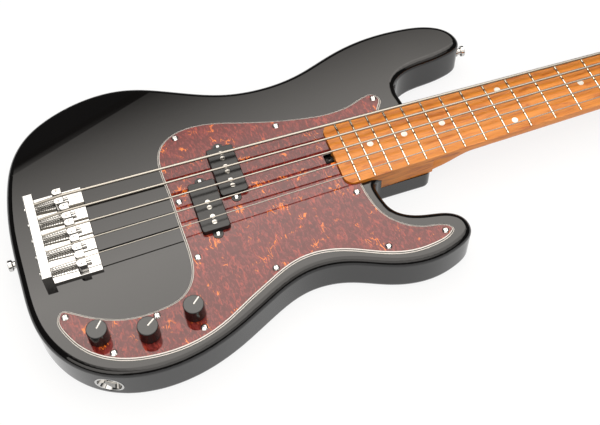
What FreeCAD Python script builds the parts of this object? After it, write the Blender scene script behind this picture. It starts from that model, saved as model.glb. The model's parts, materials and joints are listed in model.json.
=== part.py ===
import FreeCAD, Part
import math
import os

Vector = FreeCAD.Vector
X_AXIS = Vector(1, 0, 0)
Y_AXIS = Vector(0, 1, 0)
Z_AXIS = Vector(0, 0, 1)

# A five string electric bass guitar lying on its back, in millimetres.
# X runs from the saddles to the nut, Y towards the thickest string, and Z from the back out of the face.

# Scale and strings, thickest string first
scale_length = 863.6
fret_count = 20
string_gauges = (3.3, 2.7, 2.15, 1.65, 1.15)
bridge_spacing = 18.6
nut_spacing = 9.6
saddle_action = 4.9
nut_action = 0.5
intonation_setbacks = (5.8, 2.4, 1.4, 0.6, 0.2)
string_bend_run = 2.0
ball_radius = 2.4
ball_length = 4.0

# Body
body_width = 330.0
body_thickness = 44.5
tail_overhang = 63.5
lip_share = 0.8222
edge_round_share = 0.030
contour_radius = 200.0
contour_slope = 13.0
contour_line_shares = ((0.308, 0.418), (0.039, 0.266))
body_outline_shares = (
    (0.821, 0.192), (0.834, 0.227), (0.866, 0.253), (0.916, 0.263), (0.962, 0.274),
    (0.994, 0.301), (0.993, 0.347), (0.956, 0.401), (0.890, 0.425), (0.810, 0.426),
    (0.723, 0.398), (0.640, 0.355), (0.559, 0.341), (0.483, 0.358), (0.412, 0.403),
    (0.343, 0.455), (0.274, 0.490), (0.203, 0.493), (0.136, 0.466), (0.077, 0.410),
    (0.038, 0.328), (0.014, 0.211), (0.002, 0.061), (0.002, -0.106), (0.008, -0.243),
    (0.037, -0.358), (0.091, -0.443), (0.167, -0.488), (0.257, -0.489), (0.344, -0.451),
    (0.433, -0.385), (0.507, -0.344), (0.584, -0.353), (0.663, -0.403), (0.732, -0.422),
    (0.793, -0.404), (0.828, -0.364), (0.827, -0.323), (0.805, -0.290), (0.756, -0.270),
    (0.719, -0.245), (0.699, -0.200),
)

# Neck joint
pocket_length = 92.5
treble_pocket_length = 29.0
pocket_depth = 19.1
pocket_clearance = 0.15
cutaway_margin = 4.0
heel_corner_radius = 8.0
lip_corner_radius = 8.0
plate_length = 64.0
plate_width = 51.0
plate_thickness = 2.0
plate_corner_radius = 5.0
neck_screw_length_pitch = 50.0
neck_screw_width_pitch = 38.0
neck_screw_radius = 2.4
neck_screw_head = 4.4
neck_screw_length = 38.0

# Neck, fingerboard and nut
nut_width = 48.5
heel_width = 75.8
board_stand = 6.3
board_thickness = 6.0
board_radius = 406.0
board_overhang = 14.0
board_corner_radius = 10.0
neck_depth_nut = 15.5
neck_depth_heel = 17.6
heel_run = 42.0
head_run = 25.0
heel_run_shares = (0.0, 0.15, 0.4, 0.7, 1.0)
boxy_power = 12.0
round_power = 2.2
fret_width = 2.6
fret_crown = 1.2
fret_end_inset = 0.5
dot_radius = 3.2
dot_depth = 2.0
side_dot_radius = 1.2
side_dot_share = 0.2
side_dot_height_share = 0.33
dot_frets = (3, 5, 7, 9, 12, 15, 17, 19)
dot_pair_share = 1.5
octave = 12
nut_length = 5.0
nut_over_frets = 2.4
nut_slot_gap = 0.15
truss_rod_radius = 3.0
truss_channel_depth = 9.0
truss_nut_radius = 5.0
truss_nut_length = 8.0
truss_spoke_radius = 1.5
truss_thread_share = 0.75
truss_well_margin = 1.5

# Headstock
head_length = 205.0
head_width = 84.0
head_thickness = 14.0
head_drop = 1.5
head_outline_shares = (
    (0.070, 0.630), (0.140, 0.850), (0.220, 0.985), (0.320, 1.000),
    (0.600, 0.935), (0.860, 0.820), (0.965, 0.610),
)
tuner_shares = ((0.195, 0.700), (0.455, 0.640), (0.715, 0.580), (0.585, -0.610), (0.325, -0.670))
wind_turns = (2, 2, 3, 3, 4)

# Tuners
post_radius = 5.5
post_height = 17.5
post_slot_width = 4.8
post_slot_depth = 5.4
post_socket_radius = 1.6
bushing_flange_radius = 9.5
bushing_flange = 2.0
bushing_sleeve_radius = 7.6
bushing_sleeve = 8.0
wind_clearance = 2.0
slot_lead = 30.0
gear_teeth = 20
gear_radius = 7.5
gear_tooth_depth = 0.9
gear_thickness = 5.0
gear_drop = 1.0
worm_radius = 2.8
worm_core_radius = 2.0
worm_length = 12.0
worm_rings = 4
housing_wall = 2.5
housing_foot = 2.0
housing_foot_length = 6.0
key_shaft_radius = 2.2
key_shaft_length = 12.0
key_length = 22.0
key_width = 26.0
key_thickness = 5.5
key_edge_radius = 1.6
tuner_screw_radius = 1.3
tuner_screw_head = 2.4
tuner_screw_length = 9.0

# String retainer bar behind the nut
retainer_setback = 18.0
retainer_width = 4.8
retainer_depth = 4.8
retainer_edge_radius = 1.8
retainer_gap = 0.8
retainer_length = 52.0
retainer_height = 8.4
retainer_leg_radius = 2.5
retainer_leg_spacing = 32.0

# Pickguard
guard_thickness = 2.4
guard_bevel_width = 2.6
guard_bevel_depth = 1.9
guard_gap = 0.4
guard_outline_shares = (
    (0.768, 0.130), (0.779, 0.159), (0.770, 0.188), (0.744, 0.188), (0.716, 0.173),
    (0.670, 0.164), (0.609, 0.175), (0.511, 0.214), (0.439, 0.249), (0.390, 0.258),
    (0.349, 0.244), (0.322, 0.211), (0.310, 0.164), (0.309, 0.061), (0.310, -0.091),
    (0.310, -0.188), (0.301, -0.255), (0.273, -0.304), (0.231, -0.321), (0.176, -0.320),
    (0.116, -0.286), (0.077, -0.247), (0.063, -0.238), (0.051, -0.261), (0.055, -0.302),
    (0.086, -0.380), (0.139, -0.435), (0.190, -0.455), (0.262, -0.456), (0.340, -0.420),
    (0.387, -0.381), (0.433, -0.345), (0.478, -0.313), (0.520, -0.300), (0.558, -0.305),
    (0.594, -0.322), (0.644, -0.358), (0.679, -0.378), (0.716, -0.387), (0.758, -0.382),
    (0.786, -0.367), (0.795, -0.350), (0.787, -0.333), (0.760, -0.319), (0.731, -0.306),
    (0.707, -0.281), (0.685, -0.239), (0.673, -0.184),
)
guard_bass_end_share = 0.764
guard_treble_end_share = 0.668
guard_screw_shares = (
    (0.357, 0.228), (0.556, 0.169), (0.765, 0.169), (0.324, -0.001), (0.324, -0.200),
    (0.652, -0.143), (0.777, -0.352), (0.664, -0.347), (0.453, -0.307), (0.295, -0.418),
    (0.222, -0.340), (0.132, -0.410), (0.066, -0.262),
)
guard_screw_radius = 1.4
guard_screw_head = 3.3
guard_screw_head_height = 1.2
guard_screw_length = 12.0

# Split pickup
pickup_length = 57.4
pickup_width = 27.3
pickup_height = 16.5
pickup_stand = 5.0
pickup_wall = 1.5
pickup_corner_radius = 3.0
pickup_top_radius = 0.8
pickup_x_shares = (0.1778, 0.1448)
pickup_string_shares = (1.05, -0.945)
pickup_strings = ((0, 1, 2), (3, 4))
ear_reach = 31.7
ear_radius = 4.7
ear_thickness = 3.0
ear_stand = 0.6
pole_radius = 2.4
pole_offset = 3.3
pole_shift = 0.8
pole_proud = 0.6
coil_width = 15.0
coil_margin = 4.0
coil_height = 9.0
bobbin_thickness = 1.6
pickup_screw_radius = 1.5
pickup_screw_head = 2.6
pickup_screw_head_height = 1.3
pickup_screw_length = 24.0
pickup_travel = 1.5
pickup_well_floor = 24.0

# Controls
knob_shares = ((0.1152, -0.3515), (0.2006, -0.3879), (0.2876, -0.3667))
knob_angles = (50.0, 35.0, 41.0)
knob_radius = 9.5
knob_taper = 0.4
knob_height = 16.0
knob_stand = 0.8
knob_wall = 1.6
knob_recess = 5.4
knob_top_radius = 0.8
pointer_width = 1.4
pointer_depth = 0.4
pot_radius = 12.0
pot_height = 10.0
bushing_radius = 4.7
bushing_height = 4.0
shaft_radius = 3.0
shaft_height = 13.0
pot_nut_flats = 12.0
pot_nut_height = 2.4
pot_washer_radius = 7.4
pot_washer = 0.8
control_well_radius = 14.0
control_well_floor = 12.0
wire_bore_radius = 4.0

# Output jack in a cup on the lower side
jack_share = (0.1062, -0.461)
jack_height = 21.0
cup_length = 27.0
cup_height = 24.0
cup_flange = 1.6
cup_rim_share = 0.86
cup_floor_radius = 7.6
cup_depth = 9.0
cup_wall = 1.0
jack_bore_radius = 3.2
jack_bushing_radius = 4.7
jack_bushing_length = 7.0
jack_nut_flats = 12.0
jack_nut_height = 2.2
jack_barrel_radius = 7.0
jack_barrel_length = 24.0
jack_seat_depth = 2.0

# Strap buttons
button_shares = ((0.0, 0.0), (1.0, 0.315))
button_base_radius = 4.9
button_waist_radius = 3.7
button_top_radius = 5.8
button_height = 9.6
button_rim = 3.9
button_height_shares = (0.14, 0.26, 0.48, 0.93)
button_seat_depth = 0.6
trim_screw_radius = 1.7
trim_screw_head = 3.2
trim_screw_length = 32.0

# Bridge
bridge_front = 14.0
bridge_tail = 41.0
bridge_width = 98.5
bridge_base = 3.0
tail_block_length = 9.5
tail_block_height = 14.9
tail_block_inset = 0.8
bridge_edge_radius = 0.8
bridge_screw_x = 8.0
bridge_screw_rear_x = -27.0
bridge_screw_front_share = 0.80
bridge_screw_rear_shares = (1.5, -0.5, -1.5)
bridge_screw_radius = 1.9
bridge_screw_head = 3.6
bridge_screw_length = 25.0
string_hole_height = 11.3
string_hole_gap = 0.3
ball_recess_radius = 2.8
ball_recess_depth = 5.5
saddle_length = 9.6
saddle_width = 17.8
saddle_witness = 3.2
saddle_stand = 0.7
saddle_lobe_height = 0.9
saddle_groove_gap = 0.3
saddle_edge_radius = 0.7
saddle_crest = 1.2
grub_radius = 1.5
grub_spacing = 12.0
grub_socket_radius = 0.8
grub_drop = 0.5
screw_axis_height = 6.2
intonation_radius = 1.5
intonation_head = 2.3
intonation_head_height = 1.0
intonation_tip = 4.0
spring_wire = 0.65
spring_turns = 8
spring_bend = 0.7

# Fits
overrun = 2.0
fit_gap = 0.1
run_gap = 0.3
edge_tolerance = 0.01
straight_share = 1e-8
upright_share = 0.5
oval_points = 16
gap_samples = 500
hex_sides = 6

# Screw heads
screw_crown_share = 0.62
screw_rim_share = 0.40
screw_slot_share = 0.24

# Levels and stations that follow from the sizes above
heel_x = scale_length * 2 ** (-fret_count / octave) - board_overhang
lip_x = heel_x + pocket_length
body_length = (lip_x + tail_overhang) / lip_share
# The horns are sharper on a longer or a narrower body, and the edges' round follows them.
body_edge_radius = edge_round_share * body_width ** 2 / body_length
board_top = body_thickness + board_stand
board_bottom = board_top - board_thickness
heel_bottom = body_thickness - pocket_depth
fret_top = board_top + fret_crown
guard_top = body_thickness + guard_thickness
base_top = body_thickness + bridge_base
head_face = board_bottom - head_drop
head_back = head_face - head_thickness
head_x = scale_length + nut_length
tail_front = tail_block_length - bridge_tail
string_count = len(string_gauges)


def box(x0, x1, y0, y1, z0, z1):
    return Part.makeBox(x1 - x0, y1 - y0, z1 - z0, Vector(x0, y0, z0))


def rod(radius, start, end):
    return Part.makeCylinder(radius, (end - start).Length, start, end - start)


def fuse_all(shapes):
    return shapes[0].multiFuse(shapes[1:]).removeSplitter()


def closed_face(edges):
    return Part.Face(Part.Wire(Part.__sortEdges__(edges)))


def prism(edges, z0, z1):
    face = closed_face(edges)
    face.translate(Vector(0, 0, z0))
    return face.extrude(Vector(0, 0, z1 - z0))


def polygon_edges(points):
    return [Part.LineSegment(a, b).toShape() for a, b in zip(points, points[1:] + points[:1])]


def spline_edge(points):
    curve = Part.BSplineCurve()
    curve.interpolate(points)
    return curve.toShape()


def upright_edges(shape):
    return [edge for edge in shape.Edges if abs(edge.tangentAt(edge.FirstParameter).z) > upright_share]


def top_edges(shape, height):
    return [edge for edge in shape.Edges if edge.CenterOfMass.z > height - edge_tolerance]


def along(shape, origin, direction):
    """A shape made along +Z from zero, set down at a place with its Z along a direction."""
    placed = shape.copy()
    placed.Placement = FreeCAD.Placement(origin, FreeCAD.Rotation(Z_AXIS, direction))
    return placed


def body_point(share, z=0.0):
    return Vector(share[0] * body_length - tail_overhang, share[1] * body_width, z)


def neck_half(x):
    """Half the neck's width at a station."""
    part = (x - heel_x) / (scale_length - heel_x)
    return (heel_width + (nut_width - heel_width) * part) / 2


def fret_x(number):
    return scale_length * 2 ** (-number / octave)


def string_rank(index):
    """2 for the thickest string, 0 for the middle one, -2 for the thinnest."""
    return (string_count - 1) / 2 - index


def string_saddle(index):
    height = fret_top + saddle_action + string_gauges[index] / 2
    return Vector(-intonation_setbacks[index], string_rank(index) * bridge_spacing, height)


def string_nut(index):
    height = fret_top + nut_action + string_gauges[index] / 2
    return Vector(scale_length + nut_length / 2, string_rank(index) * nut_spacing, height)


def string_at(index, x):
    """The point of a sounding string above a station."""
    start = string_saddle(index)
    end = string_nut(index)
    return start + (end - start) * ((x - start.x) / (end.x - start.x))


def revolved(profile):
    """A solid of revolution about Z from (radius, height) corners."""
    points = [Vector(radius, 0, height) for radius, height in profile]
    return Part.Face(Part.Wire(polygon_edges(points))).revolve(Vector(), Z_AXIS, 360)


def screw(seat, direction, radius, length, head, head_height=0.0):
    """A wood screw whose direction points out of its head, which is countersunk unless it has a height."""
    sink = head - radius
    if head_height:
        crown = (head * screw_crown_share, head_height)
        rim = (head, head_height * screw_rim_share)
        profile = [(0, head_height), crown, rim, (head, 0), (radius, 0)]
        top = head_height
    else:
        profile = [(0, 0), (head, 0), (radius, -sink)]
        top = 0.0
    profile += [(radius, radius - length), (0, -length)]
    slot = head * screw_slot_share / 2
    reach = head * screw_crown_share
    depth = max(head_height, sink) / 2
    solid = revolved(profile)
    for half_x, half_y in ((reach, slot), (slot, reach)):
        solid = solid.cut(box(-half_x, half_x, -half_y, half_y, top - depth, top + overrun))
    return along(solid, seat, direction)


def screw_hole(seat, direction, radius, length, head=0.0):
    """The hole that a screw needs, with its countersink where a head is given."""
    bore = radius + fit_gap
    profile = [(0, overrun), (bore, overrun), (bore, -length - fit_gap), (0, -length - fit_gap)]
    if head:
        rim = head + fit_gap
        profile = [(0, overrun), (rim, overrun), (rim, 0), (bore, bore - rim), (bore, -length - fit_gap),
                   (0, -length - fit_gap)]
    return along(revolved(profile), seat, direction)


def hexagon(flats, height, origin):
    corner = flats / 2 / math.cos(math.pi / hex_sides)
    turns = [2 * math.pi * k / hex_sides for k in range(hex_sides)]
    points = [Vector(corner * math.cos(a), corner * math.sin(a), 0) for a in turns]
    return along(prism(polygon_edges(points), 0, height), origin, Z_AXIS)


def arc_from(start, tangent, end):
    """The arc that leaves start along tangent and reaches end, or a line where they are in line."""
    chord = end - start
    normal = chord - tangent * chord.dot(tangent)
    if normal.Length < straight_share * chord.Length:
        return Part.LineSegment(start, end).toShape()
    normal.normalize()
    radius = chord.dot(chord) / (2 * chord.dot(normal))
    centre = start + normal * radius
    outward = (start + end) * 0.5 - centre
    outward.normalize()
    return Part.Arc(start, centre + outward * radius, end).toShape()


def biarc(start, start_tangent, end, end_tangent):
    """Two arcs that join two points smoothly in both given directions."""
    chord = end - start
    bend = 2 * (1 - start_tangent.dot(end_tangent))
    reach = chord.dot(start_tangent + end_tangent)
    if bend < straight_share:
        length = chord.dot(chord) / (2 * reach)
    else:
        length = (math.sqrt(reach ** 2 + bend * chord.dot(chord)) - reach) / bend
    middle = (start + start_tangent * length + end - end_tangent * length) * 0.5
    first = arc_from(start, start_tangent, middle)
    second = arc_from(end, end_tangent * -1, middle)
    return [first, second]


def wire_through(nodes):
    """A smooth wire through (point, direction) nodes: a line where a run is straight, else a biarc."""
    edges = []
    for (start, start_tangent), (end, end_tangent) in zip(nodes, nodes[1:]):
        run = (end - start).normalize()
        if min(run.dot(start_tangent), run.dot(end_tangent)) > 1 - straight_share:
            edges.append(Part.LineSegment(start, end).toShape())
        else:
            edges += biarc(start, start_tangent, end, end_tangent)
    return Part.Wire(edges)


def tube(nodes, diameter):
    path = wire_through(nodes)
    profile = Part.Wire([Part.makeCircle(diameter / 2, nodes[0][0], nodes[0][1])])
    solid = path.makePipeShell([profile], True, False)
    return solid, path


def least_gap(path, diameter):
    """The least clear gap between turns of a wire, measured on points along it."""
    points = path.discretize(Number=gap_samples)
    step = path.Length / (len(points) - 1)
    apart = int(3 * diameter / step) + 1
    near = min((p - q).Length for i, p in enumerate(points) for q in points[i + apart:])
    return near - diameter


def print_tube(name, index, solid, path, turns, diameter):
    """Tells how far apart a tube's turns lie, and its volume as a share of its section times its length."""
    filled = solid.Volume / (math.pi * diameter ** 2 / 4 * path.Length)
    gap = least_gap(turns, diameter)
    print(name, index + 1, "least gap", round(gap, 2), "volume share", round(filled, 4))


# Body


def heel_half():
    """Half the width of the body's lip under the neck."""
    return neck_half(heel_x + treble_pocket_length)


def outline_spline():
    """The body's outline round both horns and bouts, from the bass cutaway to the treble one."""
    return spline_edge([body_point(share) for share in body_outline_shares])


def body_edges():
    """The body's whole outline: the spline, and the lip under the neck joined to it by smooth corners."""
    half = heel_half()
    bass = Vector(lip_x, half + cutaway_margin, 0)
    inner = Vector(heel_x + treble_pocket_length + heel_corner_radius, -half, 0)
    tip_start = Vector(lip_x - lip_corner_radius, -half, 0)
    tip_end = Vector(lip_x, lip_corner_radius - half, 0)
    sweep = outline_spline()
    start = sweep.valueAt(sweep.FirstParameter)
    end = sweep.valueAt(sweep.LastParameter)
    edges = [sweep]
    edges += biarc(end, sweep.tangentAt(sweep.LastParameter), inner, X_AXIS)
    edges.append(Part.LineSegment(inner, tip_start).toShape())
    edges += biarc(tip_start, X_AXIS, tip_end, Y_AXIS)
    edges.append(Part.LineSegment(tip_end, bass).toShape())
    edges += biarc(bass, Y_AXIS, start, sweep.tangentAt(sweep.FirstParameter))
    return edges


def contoured_block():
    """A block with a flat back whose top falls away beyond the forearm contour's line."""
    line_start, line_end = [body_point(share) for share in contour_line_shares]
    run = (line_end - line_start).normalize()
    outward = run.cross(Z_AXIS)
    if outward.y < 0:
        outward = outward * -1
    reach = body_length + body_width
    slope = math.radians(contour_slope)
    fall = contour_radius * (1 - math.cos(slope))
    width = contour_radius * math.sin(slope)

    def at(across, height):
        return line_start + outward * across + Vector(0, 0, height)

    top = body_thickness
    edge = at(0, top)
    middle = at(contour_radius * math.sin(slope / 2), top - contour_radius * (1 - math.cos(slope / 2)))
    knee = at(width, top - fall)
    foot = at(width + (top - fall) / math.tan(slope), 0)
    corners = [at(-reach, 0), at(-reach, top)]
    edges = [
        Part.LineSegment(corners[0], corners[1]).toShape(),
        Part.LineSegment(corners[1], edge).toShape(),
        Part.Arc(edge, middle, knee).toShape(),
        Part.LineSegment(knee, foot).toShape(),
        Part.LineSegment(foot, corners[0]).toShape(),
    ]
    face = Part.Face(Part.Wire(edges))
    face.translate(run * -reach)
    return face.extrude(run * 2 * reach)


def rounded_body():
    """The body before any routing, with its edges rounded over."""
    edges = body_edges()
    block = prism(edges, 0, body_thickness).common(contoured_block()).Solids[0]
    outline = Part.Wire(edges)
    rims = []
    for edge in block.Edges:
        middle = edge.valueAt((edge.FirstParameter + edge.LastParameter) / 2)
        tangent = edge.tangentAt((edge.FirstParameter + edge.LastParameter) / 2)
        flat = Part.Vertex(Vector(middle.x, middle.y, 0))
        if abs(tangent.z) < upright_share and outline.distToShape(flat)[0] < edge_tolerance:
            rims.append(edge)
    return block.makeFillet(body_edge_radius, rims)


body_curve = outline_spline().Curve


def wall_seat(share, height):
    """A place on the body's side wall, with the direction out of the wall there."""
    parameter = body_curve.parameter(body_point(share))
    place = body_curve.value(parameter)
    tangent = body_curve.tangent(parameter)[0]
    outward = tangent.cross(Z_AXIS).normalize()
    return Vector(place.x, place.y, height), outward


def neck_slab(x_end, z0, z1, margin=0.0):
    """The neck's plan with its rounded heel, between two heights."""
    x0 = heel_x - margin
    half0 = neck_half(heel_x) + margin
    half1 = neck_half(x_end) + margin
    places = ((x0, -half0), (x_end, -half1), (x_end, half1), (x0, half0))
    slab = prism(polygon_edges([Vector(x, y, 0) for x, y in places]), z0, z1)
    heel = [e for e in upright_edges(slab) if e.CenterOfMass.x < x0 + edge_tolerance]
    return slab.makeFillet(board_corner_radius + margin, heel)


def neck_pocket():
    """What is cut out of the body for the neck, open over the lip beyond the treble cutaway."""
    top = body_thickness + overrun
    pocket = neck_slab(lip_x + lip_corner_radius, heel_bottom, top, pocket_clearance)
    x0 = heel_x + treble_pocket_length + heel_corner_radius
    return [pocket, box(x0, lip_x + overrun, -heel_half() - overrun, 0, heel_bottom, top)]


def plate_screw_places():
    middle = heel_x + pocket_length / 2
    return [Vector(middle + i * neck_screw_length_pitch / 2, j * neck_screw_width_pitch / 2, 0)
            for i in (-1, 1) for j in (-1, 1)]


def neck_plate_blank(margin=0.0):
    middle = heel_x + pocket_length / 2
    half_x = plate_length / 2 + margin
    half_y = plate_width / 2 + margin
    blank = box(middle - half_x, middle + half_x, -half_y, half_y, 0, plate_thickness)
    return blank.makeFillet(plate_corner_radius + margin, upright_edges(blank))


def pickup_centre(half):
    x = pickup_x_shares[half] * scale_length
    return Vector(x, pickup_string_shares[half] * string_at(1, x).y, 0)


def pickup_block(half, margin, z0, z1, ears=True):
    """The plan of a pickup half with its two rounded ears, between two heights."""
    centre = pickup_centre(half)
    half_x = pickup_width / 2 + margin
    half_y = pickup_length / 2 + margin
    block = box(centre.x - half_x, centre.x + half_x, centre.y - half_y, centre.y + half_y, z0, z1)
    block = block.makeFillet(pickup_corner_radius + margin, upright_edges(block))
    if not ears:
        return block
    return fuse_all([block] + [pickup_ear(half, side, margin, z0, z1) for side in (-1, 1)])


def pickup_ear(half, side, margin, z0, z1):
    centre = pickup_centre(half)
    radius = ear_radius + margin
    seat = Vector(centre.x, centre.y + side * ear_reach, z0)
    inner = centre.y + side * (pickup_length / 2 - pickup_wall)
    low, high = sorted((inner, seat.y))
    bridge = box(centre.x - radius, centre.x + radius, low, high, z0, z1)
    return rod(radius, seat, Vector(seat.x, seat.y, z1)).fuse(bridge).removeSplitter()


def control_well():
    """The hollow under the pickguard for the three controls."""
    top = body_thickness + overrun
    places = [body_point(share, control_well_floor) for share in knob_shares]
    shapes = [rod(control_well_radius, p, Vector(p.x, p.y, top)) for p in places]
    for start, end in zip(places, places[1:]):
        run = (end - start).normalize()
        side = run.cross(Z_AXIS) * pot_radius
        corners = [start + side, end + side, end - side, start - side]
        flat = [Vector(p.x, p.y, 0) for p in corners]
        shapes.append(prism(polygon_edges(flat), control_well_floor, top))
    return shapes


def wire_bore():
    """The drilled way from the treble pickup's well to the controls."""
    centre = pickup_centre(1)
    depth = pickup_well_floor + wire_bore_radius + overrun
    start = Vector(centre.x, centre.y - pickup_length / 2 + pickup_width / 2, depth)
    end = body_point(knob_shares[2], depth)
    return rod(wire_bore_radius, start, end)


def truss_well():
    """Room at the heel for the truss rod's adjuster."""
    half = truss_nut_radius + truss_well_margin
    axis = board_bottom - truss_channel_depth / 2
    x0 = heel_x - truss_nut_length - truss_well_margin
    return box(x0, heel_x, -half, half, axis - half, body_thickness + overrun)


def body():
    solid = rounded_body()
    cuts = neck_pocket() + control_well()
    cuts += [wire_bore(), truss_well(), neck_plate_blank(fit_gap)]
    cuts += [pickup_block(half, run_gap, pickup_well_floor, body_thickness + overrun) for half in (0, 1)]
    cuts += [rod(neck_screw_radius + fit_gap, p - Z_AXIS * overrun, p + Z_AXIS * body_thickness)
             for p in plate_screw_places()]
    cuts += [screw_hole(p, Z_AXIS, guard_screw_radius, guard_screw_length) for p in guard_screw_places()]
    cuts += [screw_hole(p, Z_AXIS, bridge_screw_radius, bridge_screw_length) for p in bridge_screw_places()]
    cuts += [pickup_screw_hole(half, side) for half in (0, 1) for side in (-1, 1)]
    cuts += jack_cuts() + button_cuts()
    return solid.cut(cuts)


def neck_plate():
    plate = neck_plate_blank()
    return plate.cut([screw_hole(p, Z_AXIS * -1, neck_screw_radius, neck_screw_length, neck_screw_head)
                      for p in plate_screw_places()])


def neck_screws():
    return [screw(p, Z_AXIS * -1, neck_screw_radius, neck_screw_length, neck_screw_head)
            for p in plate_screw_places()]


# Neck


def neck_section(x, depth, power):
    """A section across the neck: flat on top, and a back that is round at power 2 and boxy above it."""
    half = neck_half(x)
    points = []
    for k in range(oval_points + 1):
        turn = math.pi * k / oval_points
        across = math.copysign(abs(math.cos(turn)) ** (2 / power), math.cos(turn))
        down = abs(math.sin(turn)) ** (2 / power)
        points.append(Vector(x, half * across, board_bottom - depth * down))
    points[0] = Vector(x, half, board_bottom)
    points[-1] = Vector(x, -half, board_bottom)
    return Part.Wire([spline_edge(points), Part.LineSegment(points[-1], points[0]).toShape()])


def neck_shaft():
    """The heel's run into the round of the neck, the tapering shaft, and its run into the headstock."""
    heel_depth = board_bottom - heel_bottom
    slim_x = lip_x + heel_run
    runs = []
    for share in heel_run_shares:
        rounded = 1 - (1 - share) ** 2
        depth = heel_depth + (neck_depth_heel - heel_depth) * rounded
        power = boxy_power + (round_power - boxy_power) * rounded
        runs.append(neck_section(lip_x + heel_run * share, depth, power))
    end_x = scale_length - head_run
    taper = (end_x - slim_x) / (scale_length - slim_x)
    end_depth = neck_depth_heel + (neck_depth_nut - neck_depth_heel) * taper
    last = neck_section(end_x, end_depth, round_power)
    square = neck_section(head_x, board_bottom - head_back, boxy_power)
    return [
        Part.makeLoft(runs, True, False),
        Part.makeLoft([runs[-1], last], True, True),
        Part.makeLoft([last, square], True, True),
    ]


def headstock():
    half = neck_half(head_x)
    upper = [Vector(head_x + sx * head_length, sy * head_width / 2, 0) for sx, sy in head_outline_shares]
    lower = [Vector(p.x, -p.y, 0) for p in reversed(upper)]
    start = Vector(head_x, half, 0)
    end = Vector(head_x, -half, 0)
    points = [start] + upper + [Vector(head_x + head_length, 0, 0)] + lower + [end]
    edges = [spline_edge(points), Part.LineSegment(end, start).toShape()]
    return prism(edges, head_back, head_face)


def tuner_place(index, z=0.0):
    share = tuner_shares[index]
    return Vector(head_x + share[0] * head_length, share[1] * head_width / 2, z)


def tuner_side(index):
    return math.copysign(1, tuner_shares[index][1])


def neck():
    heel = neck_slab(lip_x, heel_bottom, board_bottom)
    solid = fuse_all([heel] + neck_shaft() + [headstock()])
    half = truss_rod_radius + fit_gap
    floor = board_bottom - truss_channel_depth
    cuts = [box(heel_x - overrun, scale_length - nut_length, -half, half, floor, board_bottom + overrun)]
    cuts += [screw_hole(p, Z_AXIS * -1, neck_screw_radius, neck_screw_length) for p in plate_screw_places()]
    for index in range(string_count):
        sleeve = head_face - bushing_sleeve - fit_gap
        face = tuner_place(index, head_face)
        cuts.append(rod(post_radius + run_gap, tuner_place(index, head_back - overrun), face))
        cuts.append(rod(bushing_sleeve_radius + fit_gap, tuner_place(index, sleeve), face + Z_AXIS * overrun))
    for place in tuner_screw_places():
        cuts.append(screw_hole(place, Z_AXIS * -1, tuner_screw_radius, tuner_screw_length))
    for place in retainer_screw_places():
        cuts.append(screw_hole(place, Z_AXIS, tuner_screw_radius, retainer_screw_length()))
    return solid.cut(cuts)


def board_cylinder(height):
    """A long cylinder whose crown is the fingerboard's radius, at a height over the board."""
    start = Vector(heel_x - overrun, 0, board_top - board_radius)
    return rod(board_radius + height, start, Vector(head_x, 0, start.z))


def dot_places():
    places = []
    for number in dot_frets:
        x = (fret_x(number) + fret_x(number - 1)) / 2
        offset = string_at(1, x).y * dot_pair_share
        for y in (0,) if number % octave else (-offset, offset):
            places.append(Vector(x, y, board_top - dot_depth))
    return places


def dot_blanks():
    blanks = [rod(dot_radius, p, p + Z_AXIS * (dot_depth + overrun)) for p in dot_places()]
    for place in dot_places():
        x = place.x + place.y * side_dot_share
        outer = Vector(x, neck_half(x), board_bottom + board_thickness * side_dot_height_share)
        blanks.append(rod(side_dot_radius, outer - Y_AXIS * dot_depth, outer + Y_AXIS * overrun))
    return blanks


def fingerboard():
    slab = neck_slab(scale_length, board_bottom, board_top).common(board_cylinder(0))
    return slab.cut(dot_blanks()).Solids[0]


def fret_markers():
    slab = neck_slab(scale_length, board_bottom, board_top).common(board_cylinder(0))
    return [slab.common(blank).Solids[0] for blank in dot_blanks()]


def frets():
    axis = Vector(0, 0, board_top - board_radius)
    solids = []
    for number in range(1, fret_count + 1):
        x = fret_x(number)
        foot = Vector(x - fret_width / 2, 0, board_top)
        far = Vector(x + fret_width / 2, 0, board_top)
        crown = Vector(x, 0, fret_top)
        face = closed_face([Part.Arc(foot, crown, far).toShape(), Part.LineSegment(far, foot).toShape()])
        sweep = math.degrees(math.asin((neck_half(x) - fret_end_inset) / board_radius))
        face.rotate(axis, X_AXIS, -sweep)
        solids.append(face.revolve(axis, X_AXIS, 2 * sweep))
    return solids


def nut():
    half = neck_half(head_x)
    solid = box(scale_length, head_x, -half, half, board_bottom, fret_top + nut_over_frets)
    solid = solid.common(board_cylinder(fret_crown + nut_over_frets))
    cuts = []
    for index in range(string_count):
        place = string_nut(index)
        radius = string_gauges[index] / 2 + nut_slot_gap
        run = X_AXIS * (nut_length + overrun)
        cuts.append(rod(radius, place - run, place + run))
        y0 = place.y - radius
        y1 = place.y + radius
        cuts.append(box(scale_length - overrun, head_x + overrun, y0, y1, place.z, fret_top + nut_length))
        cuts.append(nut_ramp(index, radius))
    return solid.cut(cuts)


def nut_ramp(index, radius):
    """Room behind the nut's middle for a string that falls towards its tuner."""
    place = string_nut(index)
    onward = string_retainer_point(index)
    return rod(radius, place, onward)


def truss_axis():
    return board_bottom - truss_channel_depth / 2


def truss_rod_end():
    return heel_x - truss_nut_length * truss_thread_share


def truss_rod():
    end = Vector(scale_length - 2 * nut_length, 0, truss_axis())
    return rod(truss_rod_radius, Vector(truss_rod_end(), 0, truss_axis()), end)


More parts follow.
